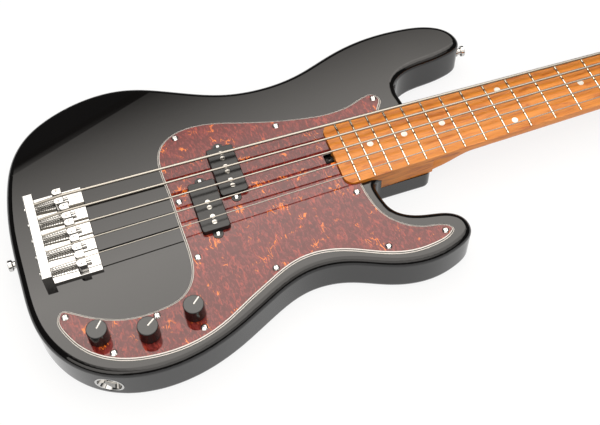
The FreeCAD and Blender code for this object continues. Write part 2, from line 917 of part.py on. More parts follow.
def truss_rod_nut():
    end = Vector(heel_x - run_gap, 0, truss_axis())
    start = end - X_AXIS * truss_nut_length
    solid = rod(truss_nut_radius, start, end)
    bore_start = Vector(truss_rod_end() - run_gap, 0, truss_axis())
    cuts = [rod(truss_rod_radius + run_gap / 2, bore_start, end + X_AXIS * overrun)]
    middle = start + X_AXIS * (truss_nut_length / 2)
    for direction in (Z_AXIS, Y_AXIS):
        reach = direction * (truss_nut_radius + overrun)
        cuts.append(rod(truss_spoke_radius, middle - reach, middle + reach))
    return solid.cut(cuts)


# Strings


def wind_radius(index):
    return post_radius + run_gap + string_gauges[index] / 2


def wind_low(index):
    return head_face + bushing_flange + wind_clearance + string_gauges[index] / 2


def wind_high(index):
    """The height where a string's end enters the slot in its post."""
    return head_face + post_height - post_slot_depth + string_gauges[index] / 2 + run_gap


def post_tangent(index):
    """Where the run from the nut first touches the winding circle, in plan, and its angle on the post."""
    nut_place = string_nut(index)
    post = tuner_place(index)
    side = tuner_side(index)
    gap_x = post.x - nut_place.x
    gap_y = post.y - nut_place.y
    distance = math.hypot(gap_x, gap_y)
    radius = wind_radius(index)
    heading = math.atan2(gap_y, gap_x) - side * math.asin(radius / distance)
    run = math.sqrt(distance ** 2 - radius ** 2)
    x = nut_place.x + run * math.cos(heading)
    y = nut_place.y + run * math.sin(heading)
    return Vector(x, y, wind_low(index)), math.atan2(y - post.y, x - post.x)


def string_retainer_point(index):
    """Where a string passes under the retainer bar."""
    nut_place = string_nut(index)
    touch = post_tangent(index)[0]
    x = head_x + retainer_setback
    part = (x - nut_place.x) / (touch.x - nut_place.x)
    height = head_face + retainer_height - retainer_depth / 2 - retainer_gap - string_gauges[index] / 2
    return Vector(x, nut_place.y + (touch.y - nut_place.y) * part, height)


def wound_nodes(index):
    """The turns of a string round its post, up to the slot, and its end bent into the slot."""
    post = tuner_place(index)
    side = tuner_side(index)
    radius = wind_radius(index)
    start_angle = post_tangent(index)[1]
    climb = wind_high(index) - wind_low(index)
    quarters = 4 * wind_turns[index]
    nodes = []
    for k in range(1, quarters + 1):
        angle = start_angle + side * k * math.pi / 2
        height = wind_low(index) + climb * k / quarters
        rise = climb / quarters if k < quarters else 0.0
        across = Vector(math.cos(angle), math.sin(angle), 0)
        onward = Z_AXIS.cross(across) * side + Z_AXIS * (rise / (radius * math.pi / 2))
        place = Vector(post.x, post.y, height) + across * radius
        nodes.append((place, onward.normalize()))
    inward = slot_direction(index) * -1
    lead = math.radians(slot_lead)
    bend = radius * math.sin(lead) / (1 + math.sin(lead))
    enter = Vector(post.x, post.y, wind_high(index)) - inward * ((radius - bend) * math.cos(lead))
    nodes.append((enter, inward))
    nodes.append((enter + inward * string_gauges[index], inward))
    return nodes


def slot_direction(index):
    """From a post's axis towards the mouth of its string slot."""
    angle = post_tangent(index)[1] + tuner_side(index) * math.radians(slot_lead)
    return Vector(math.cos(angle), math.sin(angle), 0)


def string_anchor(index):
    """Where a string leaves its ball end inside the bridge's tail block."""
    height = body_thickness + string_hole_height
    return Vector(ball_recess_depth - bridge_tail, string_saddle(index).y, height)


def string_nodes(index):
    """A string's way from its ball end over saddle and nut and under the retainer to its post."""
    anchor = string_anchor(index)
    leave = Vector(tail_front + string_bend_run, anchor.y, anchor.z)
    corners = [leave, string_saddle(index), string_nut(index), string_retainer_point(index)]
    points = [anchor] + corners + [post_tangent(index)[0]]
    runs = [(b - a).normalize() for a, b in zip(points, points[1:])]
    nodes = [(anchor, runs[0])]
    for corner, before, after in zip(corners, runs, runs[1:]):
        nodes.append((corner - before * string_bend_run, before))
        nodes.append((corner + after * string_bend_run, after))
    nodes.append((points[-1], runs[-1]))
    return nodes


def string(index):
    gauge = string_gauges[index]
    winding = wound_nodes(index)
    solid, path = tube(string_nodes(index) + winding, gauge)
    turns = wire_through([string_nodes(index)[-1]] + winding)
    print_tube("string", index, solid, path, turns, gauge)
    anchor = string_anchor(index)
    return [solid, rod(ball_radius, anchor - X_AXIS * ball_length, anchor)]


# Tuners


def gear_top():
    return head_back - gear_drop


def worm_middle(index):
    place = tuner_place(index, gear_top() - gear_thickness / 2)
    return place + X_AXIS * (gear_radius + worm_radius + run_gap)


def gear(index):
    points = []
    for k in range(2 * gear_teeth):
        radius = gear_radius - gear_tooth_depth * (k % 2)
        turn = math.pi * k / gear_teeth
        points.append(tuner_place(index) + Vector(radius * math.cos(turn), radius * math.sin(turn), 0))
    return prism(polygon_edges(points), gear_top() - gear_thickness, gear_top())


def tuner_post(index):
    place = tuner_place(index)
    top = head_face + post_height
    stem = rod(post_radius, place + Z_AXIS * (gear_top() - gear_thickness), place + Z_AXIS * top)
    mouth = slot_direction(index) * (2 * post_radius)
    side = slot_direction(index).cross(Z_AXIS) * (post_slot_width / 2)
    corners = [place + mouth + side, place + mouth - side, place - mouth - side, place - mouth + side]
    floor = top - post_slot_depth
    slot = prism(polygon_edges(corners), floor, top + overrun)
    socket = rod(post_socket_radius, place + Z_AXIS * (floor - post_slot_depth), place + Z_AXIS * top)
    return stem.fuse(gear(index)).cut([slot, socket])


def tuner_bushings():
    rings = []
    for index in range(string_count):
        place = tuner_place(index, head_face)
        ring = rod(bushing_flange_radius, place, place + Z_AXIS * bushing_flange)
        sleeve = rod(bushing_sleeve_radius, place - Z_AXIS * bushing_sleeve, place)
        reach = Z_AXIS * (bushing_sleeve + overrun)
        rings.append(ring.fuse(sleeve).cut(rod(post_radius + run_gap, place - reach, place + reach)))
    return rings


def housing_span(index):
    """The corners of a tuner's housing on the back of the headstock."""
    place = tuner_place(index)
    near = place.x - gear_radius - run_gap - housing_wall
    far = worm_middle(index).x + worm_radius + run_gap + housing_wall
    half = worm_length / 2 + run_gap + housing_wall
    bottom = gear_top() - gear_thickness - run_gap - housing_wall
    return near, far, place.y - half, place.y + half, bottom


def tuner_housing(index):
    near, far, low, high, bottom = housing_span(index)
    block = box(near, far, low, high, bottom, head_back)
    under = [e for e in block.Edges if all(v.Z < bottom + edge_tolerance for v in e.Vertexes)]
    block = block.makeFillet(housing_wall / 2, under)
    sole = head_back - housing_foot
    foot = box(near - housing_foot_length, far + housing_foot_length, low, high, sole, head_back)
    worm = worm_middle(index)
    room = Y_AXIS * (worm_length / 2 + run_gap)
    way_out = Y_AXIS * (tuner_side(index) * worm_length)
    gear_floor = tuner_place(index, bottom + housing_wall)
    cuts = [
        rod(gear_radius + run_gap, gear_floor, tuner_place(index, head_back + overrun)),
        rod(worm_radius + run_gap, worm - room, worm + room),
        rod(key_shaft_radius + run_gap, worm, worm + way_out),
    ]
    cuts += [screw_hole(p, Z_AXIS * -1, tuner_screw_radius, tuner_screw_length) for p in foot_places(index)]
    return block.fuse(foot).cut(cuts)


def foot_places(index):
    near, far, low, high = housing_span(index)[:-1]
    middle = (low + high) / 2
    height = head_back - housing_foot
    reach = housing_foot_length / 2
    return [Vector(x, middle, height) for x in (near - reach, far + reach)]


def tuner_screw_places():
    return [place for index in range(string_count) for place in foot_places(index)]


def small_screw(place, direction, length):
    return screw(place, direction, tuner_screw_radius, length, tuner_screw_head, tuner_screw_radius)


def tuner_screws():
    return [small_screw(place, Z_AXIS * -1, tuner_screw_length) for place in tuner_screw_places()]


def oval_edge(half_x, half_y, z=0.0):
    turns = [2 * math.pi * k / oval_points for k in range(oval_points)]
    curve = Part.BSplineCurve()
    points = [Vector(half_x * math.cos(a), half_y * math.sin(a), z) for a in turns]
    curve.interpolate(Points=points, PeriodicFlag=True)
    return curve.toShape()


def tuner_key(index):
    """A key with its shaft and the worm that turns the post's gear."""
    outward = Y_AXIS * tuner_side(index)
    worm = worm_middle(index)
    start = worm - outward * (worm_length / 2)
    exit_wall = worm + outward * (worm_length / 2)
    blade = exit_wall + outward * key_shaft_length
    shapes = [
        rod(worm_core_radius, start, exit_wall),
        rod(key_shaft_radius, exit_wall, blade + outward * key_thickness),
    ]
    ring = worm_length / (2 * worm_rings)
    for k in range(worm_rings):
        foot = start + outward * (2 * k * ring)
        shapes.append(rod(worm_radius, foot, foot + outward * ring))
    plate = prism([oval_edge(key_width / 2, key_length / 2)], -key_thickness / 2, key_thickness / 2)
    rims = [e for e in plate.Edges if abs(e.CenterOfMass.z) > key_thickness / 2 - edge_tolerance]
    plate = plate.makeFillet(key_edge_radius, rims)
    plate.translate(blade + outward * (key_length / 2))
    return fuse_all(shapes + [plate])


# String retainer


def retainer_top():
    return head_face + retainer_height + retainer_depth / 2


def retainer_screw_places():
    x = head_x + retainer_setback
    return [Vector(x, side * retainer_leg_spacing / 2, retainer_top()) for side in (-1, 1)]


def retainer_screw_length():
    return retainer_top() - head_face + tuner_screw_length


def string_retainer():
    x = head_x + retainer_setback
    half_x = retainer_width / 2
    half_y = retainer_length / 2
    top = retainer_top()
    bar = box(x - half_x, x + half_x, -half_y, half_y, top - retainer_depth, top)
    bar = bar.makeFillet(retainer_edge_radius, bar.Edges)
    seats = retainer_screw_places()
    shapes = [bar]
    for seat in seats:
        middle = seat - Z_AXIS * (retainer_depth / 2)
        shapes.append(rod(retainer_leg_radius, Vector(seat.x, seat.y, head_face), middle))
    solid = fuse_all(shapes)
    return solid.cut([screw_hole(p, Z_AXIS, tuner_screw_radius, retainer_screw_length()) for p in seats])


# Pickguard


def guard_screw_places():
    return [body_point(share, guard_top) for share in guard_screw_shares]


def pickguard():
    bass_x = body_point((guard_bass_end_share, 0)).x
    treble_x = body_point((guard_treble_end_share, 0)).x
    start = Vector(bass_x, neck_half(bass_x) + guard_gap, 0)
    end = Vector(treble_x, -neck_half(treble_x) - guard_gap, 0)
    points = [start] + [body_point(share) for share in guard_outline_shares] + [end]
    edges = [spline_edge(points), Part.LineSegment(end, start).toShape()]
    plate = prism(edges, body_thickness, guard_top)
    rim = [e for e in top_edges(plate, guard_top) if e.Length > body_length]
    plate = plate.makeChamfer(guard_bevel_depth, guard_bevel_width, rim)
    low = body_thickness - overrun
    high = guard_top + overrun
    half = truss_nut_radius + truss_well_margin
    slot_x = heel_x - truss_nut_length - truss_well_margin
    cuts = [neck_slab(lip_x, low, high, guard_gap), box(slot_x, heel_x, -half, half, low, high)]
    cuts += [pickup_block(side, guard_gap, low, high) for side in (0, 1)]
    cuts += [rod(bushing_radius + fit_gap, body_point(s, low), body_point(s, high)) for s in knob_shares]
    cuts += [screw_hole(p, Z_AXIS, guard_screw_radius, guard_screw_length) for p in guard_screw_places()]
    return plate.cut(cuts)


def pickguard_screws():
    sizes = (guard_screw_radius, guard_screw_length, guard_screw_head, guard_screw_head_height)
    return [screw(place, Z_AXIS, *sizes) for place in guard_screw_places()]


# Pickups


pickup_top = guard_top + pickup_stand
pickup_bottom = pickup_top - pickup_height
ear_top = guard_top + ear_stand


def ear_screw_place(half, side):
    centre = pickup_centre(half)
    return Vector(centre.x, centre.y + side * ear_reach, ear_top)


def pickup_screw_hole(half, side):
    """A way for an ear's screw to ride up and down with the pickup."""
    seat = ear_screw_place(half, side)
    depth = pickup_screw_length + pickup_travel + run_gap
    return rod(pickup_screw_radius + run_gap, seat - Z_AXIS * depth, seat)


def pole_rods(half, margin, z0, z1):
    x = pickup_centre(half).x
    rods = []
    for index in pickup_strings[half]:
        for side in (-1, 1):
            foot = Vector(x, string_at(index, x).y + pole_shift + side * pole_offset, z0)
            rods.append(rod(pole_radius + margin, foot, Vector(foot.x, foot.y, z1)))
    return rods


def pickup_cover(half):
    shell = pickup_block(half, 0, pickup_bottom, pickup_top, False)
    shell = shell.makeFillet(pickup_top_radius, top_edges(shell, pickup_top))
    hollow = pickup_block(half, -pickup_wall, pickup_bottom - overrun, pickup_top - pickup_wall, False)
    ears = [pickup_ear(half, side, 0, ear_top - ear_thickness, ear_top) for side in (-1, 1)]
    shell = fuse_all([shell.cut(hollow)] + ears)
    cuts = pole_rods(half, fit_gap, pickup_bottom, pickup_top + overrun)
    cuts += [screw_hole(ear_screw_place(half, side), Z_AXIS, pickup_screw_radius, pickup_screw_length)
             for side in (-1, 1)]
    return shell.cut(cuts)


def pickup_coil(half):
    """A bobbin floor that closes the cover, and the coil round the poles."""
    floor_top = pickup_bottom + bobbin_thickness
    floor = pickup_block(half, -pickup_wall - fit_gap, pickup_bottom, floor_top, False)
    centre = pickup_centre(half)
    half_x = coil_width / 2
    half_y = pickup_length / 2 - pickup_wall - coil_margin / 2
    coil = box(centre.x - half_x, centre.x + half_x, centre.y - half_y, centre.y + half_y, floor_top,
               floor_top + coil_height)
    coil = coil.makeFillet(half_x - fit_gap, upright_edges(coil))
    holes = pole_rods(half, fit_gap, pickup_bottom - overrun, pickup_top)
    return [floor.cut(holes), coil.cut(holes)]


def pickup_poles(half):
    return pole_rods(half, 0, pickup_bottom, pickup_top + pole_proud)


def pickup_screws(half):
    sizes = (pickup_screw_radius, pickup_screw_length, pickup_screw_head, pickup_screw_head_height)
    return [screw(ear_screw_place(half, side), Z_AXIS, *sizes) for side in (-1, 1)]


# Controls


def control_pots():
    solids = []
    for share in knob_shares:
        base = body_point(share, body_thickness)
        seat = body_point(share, guard_top)
        top = seat + Z_AXIS * bushing_height
        bushing = rod(bushing_radius, base, top)
        pot = rod(pot_radius, base - Z_AXIS * pot_height, base).fuse(bushing)
        solids.append(pot.cut(rod(shaft_radius + run_gap, shaft_foot(share), top + Z_AXIS * overrun)))
        clear = rod(bushing_radius + fit_gap, base, top)
        solids.append(rod(pot_washer_radius, seat, seat + Z_AXIS * pot_washer).cut(clear))
        solids.append(hexagon(pot_nut_flats, pot_nut_height, seat + Z_AXIS * pot_washer).cut(clear))
    return solids


def shaft_foot(share):
    return body_point(share, body_thickness - pot_height / 2)


def knob(index):
    """A knob with its pot's shaft, and the shallow groove of its pointer."""
    share = knob_shares[index]
    foot = body_point(share, guard_top + knob_stand)
    top = foot + Z_AXIS * knob_height
    solid = Part.makeCone(knob_radius + knob_taper, knob_radius, knob_height, foot)
    solid = solid.makeFillet(knob_top_radius, top_edges(solid, top.z))
    half = pointer_width / 2
    pointer = box(0, 2 * knob_radius, -half, half, -pointer_depth, pointer_depth)
    pointer.rotate(Vector(), Z_AXIS, knob_angles[index])
    pointer.translate(top)
    shaft_top = foot + Z_AXIS * shaft_height
    recess = rod(knob_radius - knob_wall, foot - Z_AXIS * overrun, foot + Z_AXIS * knob_recess)
    solid = solid.cut([recess, rod(shaft_radius + fit_gap, foot, shaft_top), pointer])
    return [solid, rod(shaft_radius, shaft_foot(share) + Z_AXIS * run_gap, shaft_top)]


# Output jack


def on_wall(shape, seat, outward):
    """A shape made about zero with +Z out of the wall and +Y up, set down on the body's side."""
    placed = shape.copy()
    turn = FreeCAD.Rotation(Z_AXIS.cross(outward), Z_AXIS, outward, "ZYX")
    placed.Placement = FreeCAD.Placement(seat, turn)
    return placed


jack_seat, jack_outward = wall_seat(jack_share, jack_height)
cup_face = cup_flange - jack_seat_depth
cup_floor = -jack_seat_depth - cup_depth
cup_back = cup_floor - cup_wall


def cup_bowl(margin, floor):
    """The bowl of the jack's cup, oval at its rim and round at its floor."""
    rim_x = cup_length / 2 * cup_rim_share + margin
    rim_y = cup_height / 2 * cup_rim_share + margin
    radius = cup_floor_radius + margin
    rim = Part.Wire([oval_edge(rim_x, rim_y, cup_face)])
    return Part.makeLoft([rim, Part.Wire([oval_edge(radius, radius, floor)])], True, True)


def jack_cuts():
    rim = oval_edge(cup_length / 2 + fit_gap, cup_height / 2 + fit_gap)
    seat = prism([rim], -jack_seat_depth, cup_length)
    bowl = cup_bowl(cup_wall + fit_gap, cup_back)
    barrel_end = cup_back - jack_barrel_length - jack_bore_radius
    barrel = rod(jack_barrel_radius + run_gap, Vector(0, 0, barrel_end), Vector(0, 0, cup_floor))
    return [on_wall(shape, jack_seat, jack_outward) for shape in (seat, bowl, barrel)]


def jack_plate():
    flange = prism([oval_edge(cup_length / 2, cup_height / 2)], -jack_seat_depth, cup_face)
    solid = flange.fuse(cup_bowl(cup_wall, cup_back)).cut(cup_bowl(0, cup_floor))
    hole = rod(jack_bushing_radius + fit_gap, Vector(0, 0, cup_back - overrun), Vector(0, 0, cup_face))
    return on_wall(solid.cut(hole), jack_seat, jack_outward)


def jack_socket():
    """The jack's barrel and threaded bushing, bored for the plug, and the nut that holds it in the cup."""
    back = Vector(0, 0, cup_back)
    mouth = back + Z_AXIS * jack_bushing_length
    end = back - Z_AXIS * jack_barrel_length
    bushing = rod(jack_bushing_radius, back, mouth)
    barrel = rod(jack_barrel_radius, end, back).fuse(bushing)
    barrel = barrel.cut(rod(jack_bore_radius, end + Z_AXIS * cup_wall, mouth))
    clear = rod(jack_bushing_radius + fit_gap, back, mouth)
    ring = hexagon(jack_nut_flats, jack_nut_height, Vector(0, 0, cup_floor)).cut(clear)
    return [on_wall(shape, jack_seat, jack_outward) for shape in (barrel, ring)]


# Strap buttons and their screws


button_seats = [wall_seat(share, body_thickness / 2) for share in button_shares]


def button_top(seat, outward):
    return seat + outward * (button_height - button_seat_depth)


def button_cuts():
    cuts = []
    for seat, outward in button_seats:
        floor = seat - outward * button_seat_depth
        cuts.append(rod(button_base_radius + fit_gap, floor, seat + outward * button_height))
        cuts.append(screw_hole(button_top(seat, outward), outward, trim_screw_radius, trim_screw_length))
    return cuts


def strap_buttons():
    base, waist_low, waist_high, shoulder = [share * button_height for share in button_height_shares]
    rim = button_height - button_rim
    profile = [
        (0, 0), (button_base_radius, 0), (button_base_radius, base),
        (button_waist_radius, waist_low), (button_waist_radius, waist_high),
        (button_top_radius, rim), (button_top_radius, shoulder),
        (button_top_radius - button_height + shoulder, button_height), (0, button_height),
    ]
    buttons = []
    for seat, outward in button_seats:
        button = on_wall(revolved(profile), seat - outward * button_seat_depth, outward)
        top = button_top(seat, outward)
        hole = screw_hole(top, outward, trim_screw_radius, trim_screw_length, trim_screw_head)
        buttons.append(button.cut(hole))
    return buttons


def trim_screws():
    screws = []
    for seat, outward in button_seats:
        top = button_top(seat, outward)
        screws.append(screw(top, outward, trim_screw_radius, trim_screw_length, trim_screw_head))
    for place in retainer_screw_places():
        screws.append(small_screw(place, Z_AXIS, retainer_screw_length()))
    return screws


# Bridge


def bridge_screw_places():
    front = bridge_width / 2 * bridge_screw_front_share
    places = [Vector(bridge_screw_x, side * front, base_top) for side in (-1, 1)]
    for share in bridge_screw_rear_shares:
        places.append(Vector(bridge_screw_rear_x, share * bridge_spacing, base_top))
    return places


def screw_axis(index, x):
    return Vector(x, string_saddle(index).y, body_thickness + screw_axis_height)


def bridge_plate():
    half = bridge_width / 2
    base = box(tail_front, bridge_front, -half, half, body_thickness, base_top)
    inner = half - tail_block_inset
    top = body_thickness + tail_block_height
    block = box(-bridge_tail, tail_front, -inner, inner, body_thickness, top)
    crown = [e for e in block.Edges if e.CenterOfMass.z > body_thickness + tail_block_height / 2]
    rim = [e for e in top_edges(base, base_top) if e.CenterOfMass.x > tail_front + edge_tolerance]
    base = base.makeFillet(bridge_edge_radius, rim)
    solid = fuse_all([base, block.makeFillet(bridge_edge_radius, crown)])
    cuts = [screw_hole(p, Z_AXIS, bridge_screw_radius, bridge_screw_length, bridge_screw_head)
            for p in bridge_screw_places()]
    for index in range(string_count):
        anchor = string_anchor(index)
        front = Vector(tail_front + overrun, anchor.y, anchor.z)
        cuts.append(rod(string_gauges[index] / 2 + string_hole_gap, anchor, front))
        cuts.append(rod(ball_recess_radius, anchor - X_AXIS * (ball_recess_depth + overrun), anchor))
        cuts.append(rod(intonation_radius + run_gap, screw_axis(index, -bridge_tail - overrun),
                        screw_axis(index, tail_front + overrun)))
    return solid.cut(cuts)


def bridge_screws():
    return [screw(p, Z_AXIS, bridge_screw_radius, bridge_screw_length, bridge_screw_head)
            for p in bridge_screw_places()]


def saddle_rear(index):
    return string_saddle(index).x - saddle_witness - saddle_length / 2


def saddle(index):
    """A saddle with two round ended lobes beside the string, and the two grub screws it stands on."""
    place = string_saddle(index)
    rear = saddle_rear(index)
    front = rear + saddle_length
    low = base_top + saddle_stand
    top = place.z + saddle_lobe_height
    bed = place.z - string_gauges[index] / 2 - saddle_groove_gap
    leave = tail_front + string_bend_run
    fall = (place.z - string_anchor(index).z) * (place.x - rear) / (place.x - leave)
    half = saddle_width / 2
    groove = string_gauges[index] / 2 + saddle_groove_gap
    lobe_round = (half - groove) / 2 - fit_gap
    shapes = [
        box(rear + lobe_round, front, place.y - half, place.y + half, low, bed - fall),
        box(place.x - saddle_crest, front, place.y - half, place.y + half, low, bed),
    ]
    for side in (-1, 1):
        y0, y1 = sorted((place.y + side * groove, place.y + side * half))
        lobe = box(rear, front, y0, y1, low, top)
        corners = [e for e in upright_edges(lobe) if e.CenterOfMass.x < rear + edge_tolerance]
        lobe = lobe.makeFillet(lobe_round, corners)
        shapes.append(lobe.makeFillet(saddle_edge_radius, top_edges(lobe, top)))
    solid = fuse_all(shapes)
    way_out = screw_axis(index, front + overrun)
    cuts = [rod(intonation_radius + run_gap, screw_axis(index, rear - overrun), way_out)]
    grubs = []
    for side in (-1, 1):
        foot = Vector((rear + front) / 2, place.y + side * grub_spacing / 2, base_top + fit_gap)
        head = Vector(foot.x, foot.y, top - grub_drop)
        cuts.append(rod(grub_radius + fit_gap, foot, head + Z_AXIS * overrun))
        socket = rod(grub_socket_radius, head - Z_AXIS * grub_radius, head)
        grubs.append(rod(grub_radius, foot, head).cut(socket))
    return [solid.cut(cuts)] + grubs


def intonation_screw(index):
    head_end = screw_axis(index, -bridge_tail - run_gap)
    tip = screw_axis(index, saddle_rear(index) + saddle_length + intonation_tip)
    stem = rod(intonation_radius, head_end, tip)
    start = head_end - X_AXIS * intonation_head_height
    head = rod(intonation_head, start, head_end)
    depth = intonation_head_height / 2
    slot = intonation_head * screw_slot_share / 2
    reach = intonation_head * screw_crown_share
    solid = stem.fuse(head)
    for half_y, half_z in ((slot, reach), (reach, slot)):
        sides = (start.y - half_y, start.y + half_y, start.z - half_z, start.z + half_z)
        solid = solid.cut(box(start.x - overrun, start.x + depth, *sides))
    return solid


def spring_nodes(index):
    """A coil spring round an intonation screw, with each end bent square to what it presses on."""
    start = tail_front + run_gap
    end = saddle_rear(index) - run_gap
    radius = intonation_radius + run_gap + spring_wire / 2 + edge_tolerance
    quarters = 4 * spring_turns
    lead_in = spring_wire + spring_bend
    climb = end - start - 2 * lead_in

    def ring(angle, x, out=0.0):
        centre = screw_axis(index, x)
        across = Vector(0, math.cos(angle), math.sin(angle))
        onward = Vector(0, -math.sin(angle), math.cos(angle))
        return centre + across * radius + onward * out, onward

    first, onward = ring(0, start)
    nodes = [(first, X_AXIS), (first + X_AXIS * spring_wire, X_AXIS)]
    nodes.append((ring(0, start + lead_in, spring_bend)[0], onward))
    for k in range(1, quarters):
        place, heading = ring(k * math.pi / 2, start + lead_in + climb * k / quarters)
        rise = climb / quarters / (radius * math.pi / 2)
        nodes.append((place, (heading + X_AXIS * rise).normalize()))
    last, heading = ring(0, end)
    nodes.append((ring(0, end - lead_in, -spring_bend)[0], heading))
    nodes += [(last - X_AXIS * spring_wire, X_AXIS), (last, X_AXIS)]
    return nodes


def intonation_springs():
    springs = []
    for index in range(string_count):
        solid, path = tube(spring_nodes(index), spring_wire)
        print_tube("spring", index, solid, path, path, spring_wire)
        springs.append(solid)
    return springs


def all_nodes():
    nodes = {
        "body": body(),
        "neck": neck(),
        "fingerboard": fingerboard(),
        "frets": frets(),
        "fret_markers": fret_markers(),
        "nut": nut(),
        "truss_rod": truss_rod(),
        "truss_rod_nut": truss_rod_nut(),
        "neck_plate": neck_plate(),
        "neck_screws": neck_screws(),
        "pickguard": pickguard(),
        "pickguard_screws": pickguard_screws(),
        "control_pots": control_pots(),
        "jack_plate": jack_plate(),
        "jack_socket": jack_socket(),
        "strap_buttons": strap_buttons(),
        "trim_screws": trim_screws(),
        "bridge_plate": bridge_plate(),
        "bridge_screws": bridge_screws(),
        "intonation_springs": intonation_springs(),
        "tuner_bushings": tuner_bushings(),
        "tuner_screws": tuner_screws(),
        "string_retainer": string_retainer(),
        "tuner_housings": [tuner_housing(index) for index in range(string_count)],
    }
    for index in range(len(knob_shares)):
        nodes["knob_%d" % (index + 1)] = knob(index)
    for half, name in enumerate(("bass", "treble")):
        nodes["pickup_cover_" + name] = pickup_cover(half)
        nodes["pickup_coil_" + name] = pickup_coil(half)
        nodes["pickup_poles_" + name] = pickup_poles(half)
        nodes["pickup_screws_" + name] = pickup_screws(half)
    for index in range(string_count):
        number = "_%d" % (index + 1)
        nodes["string" + number] = string(index)
        nodes["saddle" + number] = saddle(index)
        nodes["intonation_screw" + number] = intonation_screw(index)
        nodes["tuner_key" + number] = tuner_key(index)
        nodes["tuner_post" + number] = tuner_post(index)
    return nodes


def main():
    os.makedirs("parts", exist_ok=True)
    for name, shape in all_nodes().items():
        whole = Part.makeCompound(shape) if isinstance(shape, list) else shape
        whole.exportStep("parts/" + name + ".step")


main()
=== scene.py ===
"""Looks of a five string electric bass guitar, made around its packed solid model."""

import json
import math

import bmesh
import bpy
from bpy.props import FloatProperty, FloatVectorProperty, IntProperty, PointerProperty
from mathutils import Matrix, Vector

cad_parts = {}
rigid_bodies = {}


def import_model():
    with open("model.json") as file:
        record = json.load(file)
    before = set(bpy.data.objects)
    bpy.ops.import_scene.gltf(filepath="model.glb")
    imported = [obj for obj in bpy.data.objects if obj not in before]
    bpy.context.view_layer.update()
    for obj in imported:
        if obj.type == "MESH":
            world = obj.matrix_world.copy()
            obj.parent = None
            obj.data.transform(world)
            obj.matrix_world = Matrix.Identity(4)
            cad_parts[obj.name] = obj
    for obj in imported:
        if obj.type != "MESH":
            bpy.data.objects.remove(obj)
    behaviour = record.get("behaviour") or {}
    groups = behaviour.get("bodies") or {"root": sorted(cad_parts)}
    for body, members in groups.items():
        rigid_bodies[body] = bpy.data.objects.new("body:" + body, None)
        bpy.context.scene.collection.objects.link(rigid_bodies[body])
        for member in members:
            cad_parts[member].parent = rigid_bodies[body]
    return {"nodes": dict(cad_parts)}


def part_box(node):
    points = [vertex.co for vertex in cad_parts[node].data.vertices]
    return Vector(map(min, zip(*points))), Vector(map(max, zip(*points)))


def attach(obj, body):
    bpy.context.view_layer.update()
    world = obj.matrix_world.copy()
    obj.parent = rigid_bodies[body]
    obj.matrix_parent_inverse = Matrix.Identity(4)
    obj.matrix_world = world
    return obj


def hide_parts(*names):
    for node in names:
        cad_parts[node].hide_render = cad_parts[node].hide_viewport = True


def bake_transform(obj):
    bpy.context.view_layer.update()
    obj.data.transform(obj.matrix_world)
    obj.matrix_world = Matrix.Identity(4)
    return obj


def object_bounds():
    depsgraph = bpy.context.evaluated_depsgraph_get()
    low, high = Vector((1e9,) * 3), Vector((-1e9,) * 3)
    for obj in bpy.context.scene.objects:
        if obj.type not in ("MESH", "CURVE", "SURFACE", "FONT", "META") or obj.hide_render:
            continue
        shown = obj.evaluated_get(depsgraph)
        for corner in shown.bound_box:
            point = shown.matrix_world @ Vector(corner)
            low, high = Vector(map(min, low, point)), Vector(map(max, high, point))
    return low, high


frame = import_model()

for start_object in [o for o in bpy.data.objects if o.name in ("Cube", "Light", "Camera")]:
    bpy.data.objects.remove(start_object)

CAD_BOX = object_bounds()

bl_info = {
    "name": "Electric bass guitar looks",
    "version": (1, 0, 0),
    "blender": (4, 5, 0),
    "location": "View3D > Sidebar > Bass",
    "description": "Finishes, strings, springs and knob lines of an electric bass, and its photo stage",
    "category": "Object",
}

X_AXIS = Vector((1, 0, 0))
Z_AXIS = Vector((0, 0, 1))
MM = 0.001
TURN = 2 * math.pi
ROOT_BODY = "instrument"
STRINGS = range(1, 6)
KNOBS = range(1, 4)
WARM_LIGHT = (1.0, 0.955, 0.9, 1.0)


def linear(hex_colour):
    """An sRGB hex value as a linear colour."""
    shares = [int(hex_colour[k:k + 2], 16) / 255 for k in (1, 3, 5)]
    return [s / 12.92 if s <= 0.04045 else ((s + 0.055) / 1.055) ** 2.4 for s in shares]


def opaque(colour, share=1.0):
    """A colour scaled by a share, with full alpha."""
    return (*(c * share for c in colour), 1.0)


def paint(hex_colour):
    """An sRGB hex value as a node's colour."""
    return opaque(linear(hex_colour))


def colour_property(name, description, hex_colour):
    return FloatVectorProperty(name=name, description=description, default=linear(hex_colour),
                               subtype="COLOR", min=0.0, max=1.0)


def length_property(name, description, millimetres):
    return FloatProperty(name=name, description=description, default=millimetres * MM,
                         subtype="DISTANCE", unit="LENGTH", precision=5)


class FinishSettings(bpy.types.PropertyGroup):
    """Colours of the instrument's finishes."""
    lacquer: colour_property("Lacquer", "Body colour under the polished clear coat", "#0a0909")
    maple: colour_property("Maple", "Middle tone of the roasted maple", "#d07d25")
    guard: colour_property("Pickguard", "Ground colour of the mottled pickguard sheet", "#651d19")
    plastic: colour_property("Plastic", "Colour of the knobs and pickup covers", "#131313")
    pointer: colour_property("Knob line", "Colour of the line on each knob", "#f4f1ea")


class StringSettings(bpy.types.PropertyGroup):
    """Sizes of the wound strings."""
    wrap_share: FloatProperty(
        name="Wrap width", description="Width of the wrap wire as a share of the string's thickness",
        default=0.16, min=0.1, max=0.5, subtype="FACTOR")
    least_wrap: length_property("Least wrap width", "Width of the wrap wire on the thinnest strings", 0.3)
    wrap_depth_share: FloatProperty(
        name="Wrap depth", description="Depth of the valley between turns as a share of the wrap's width",
        default=0.22, min=0.05, max=0.4, subtype="FACTOR")
    sides: IntProperty(name="Sides", description="Faces round each turn of the wrap",
                       default=10, min=6, max=16)
    step: length_property("Bend step", "Distance between the points that a string is bent along", 1.5)


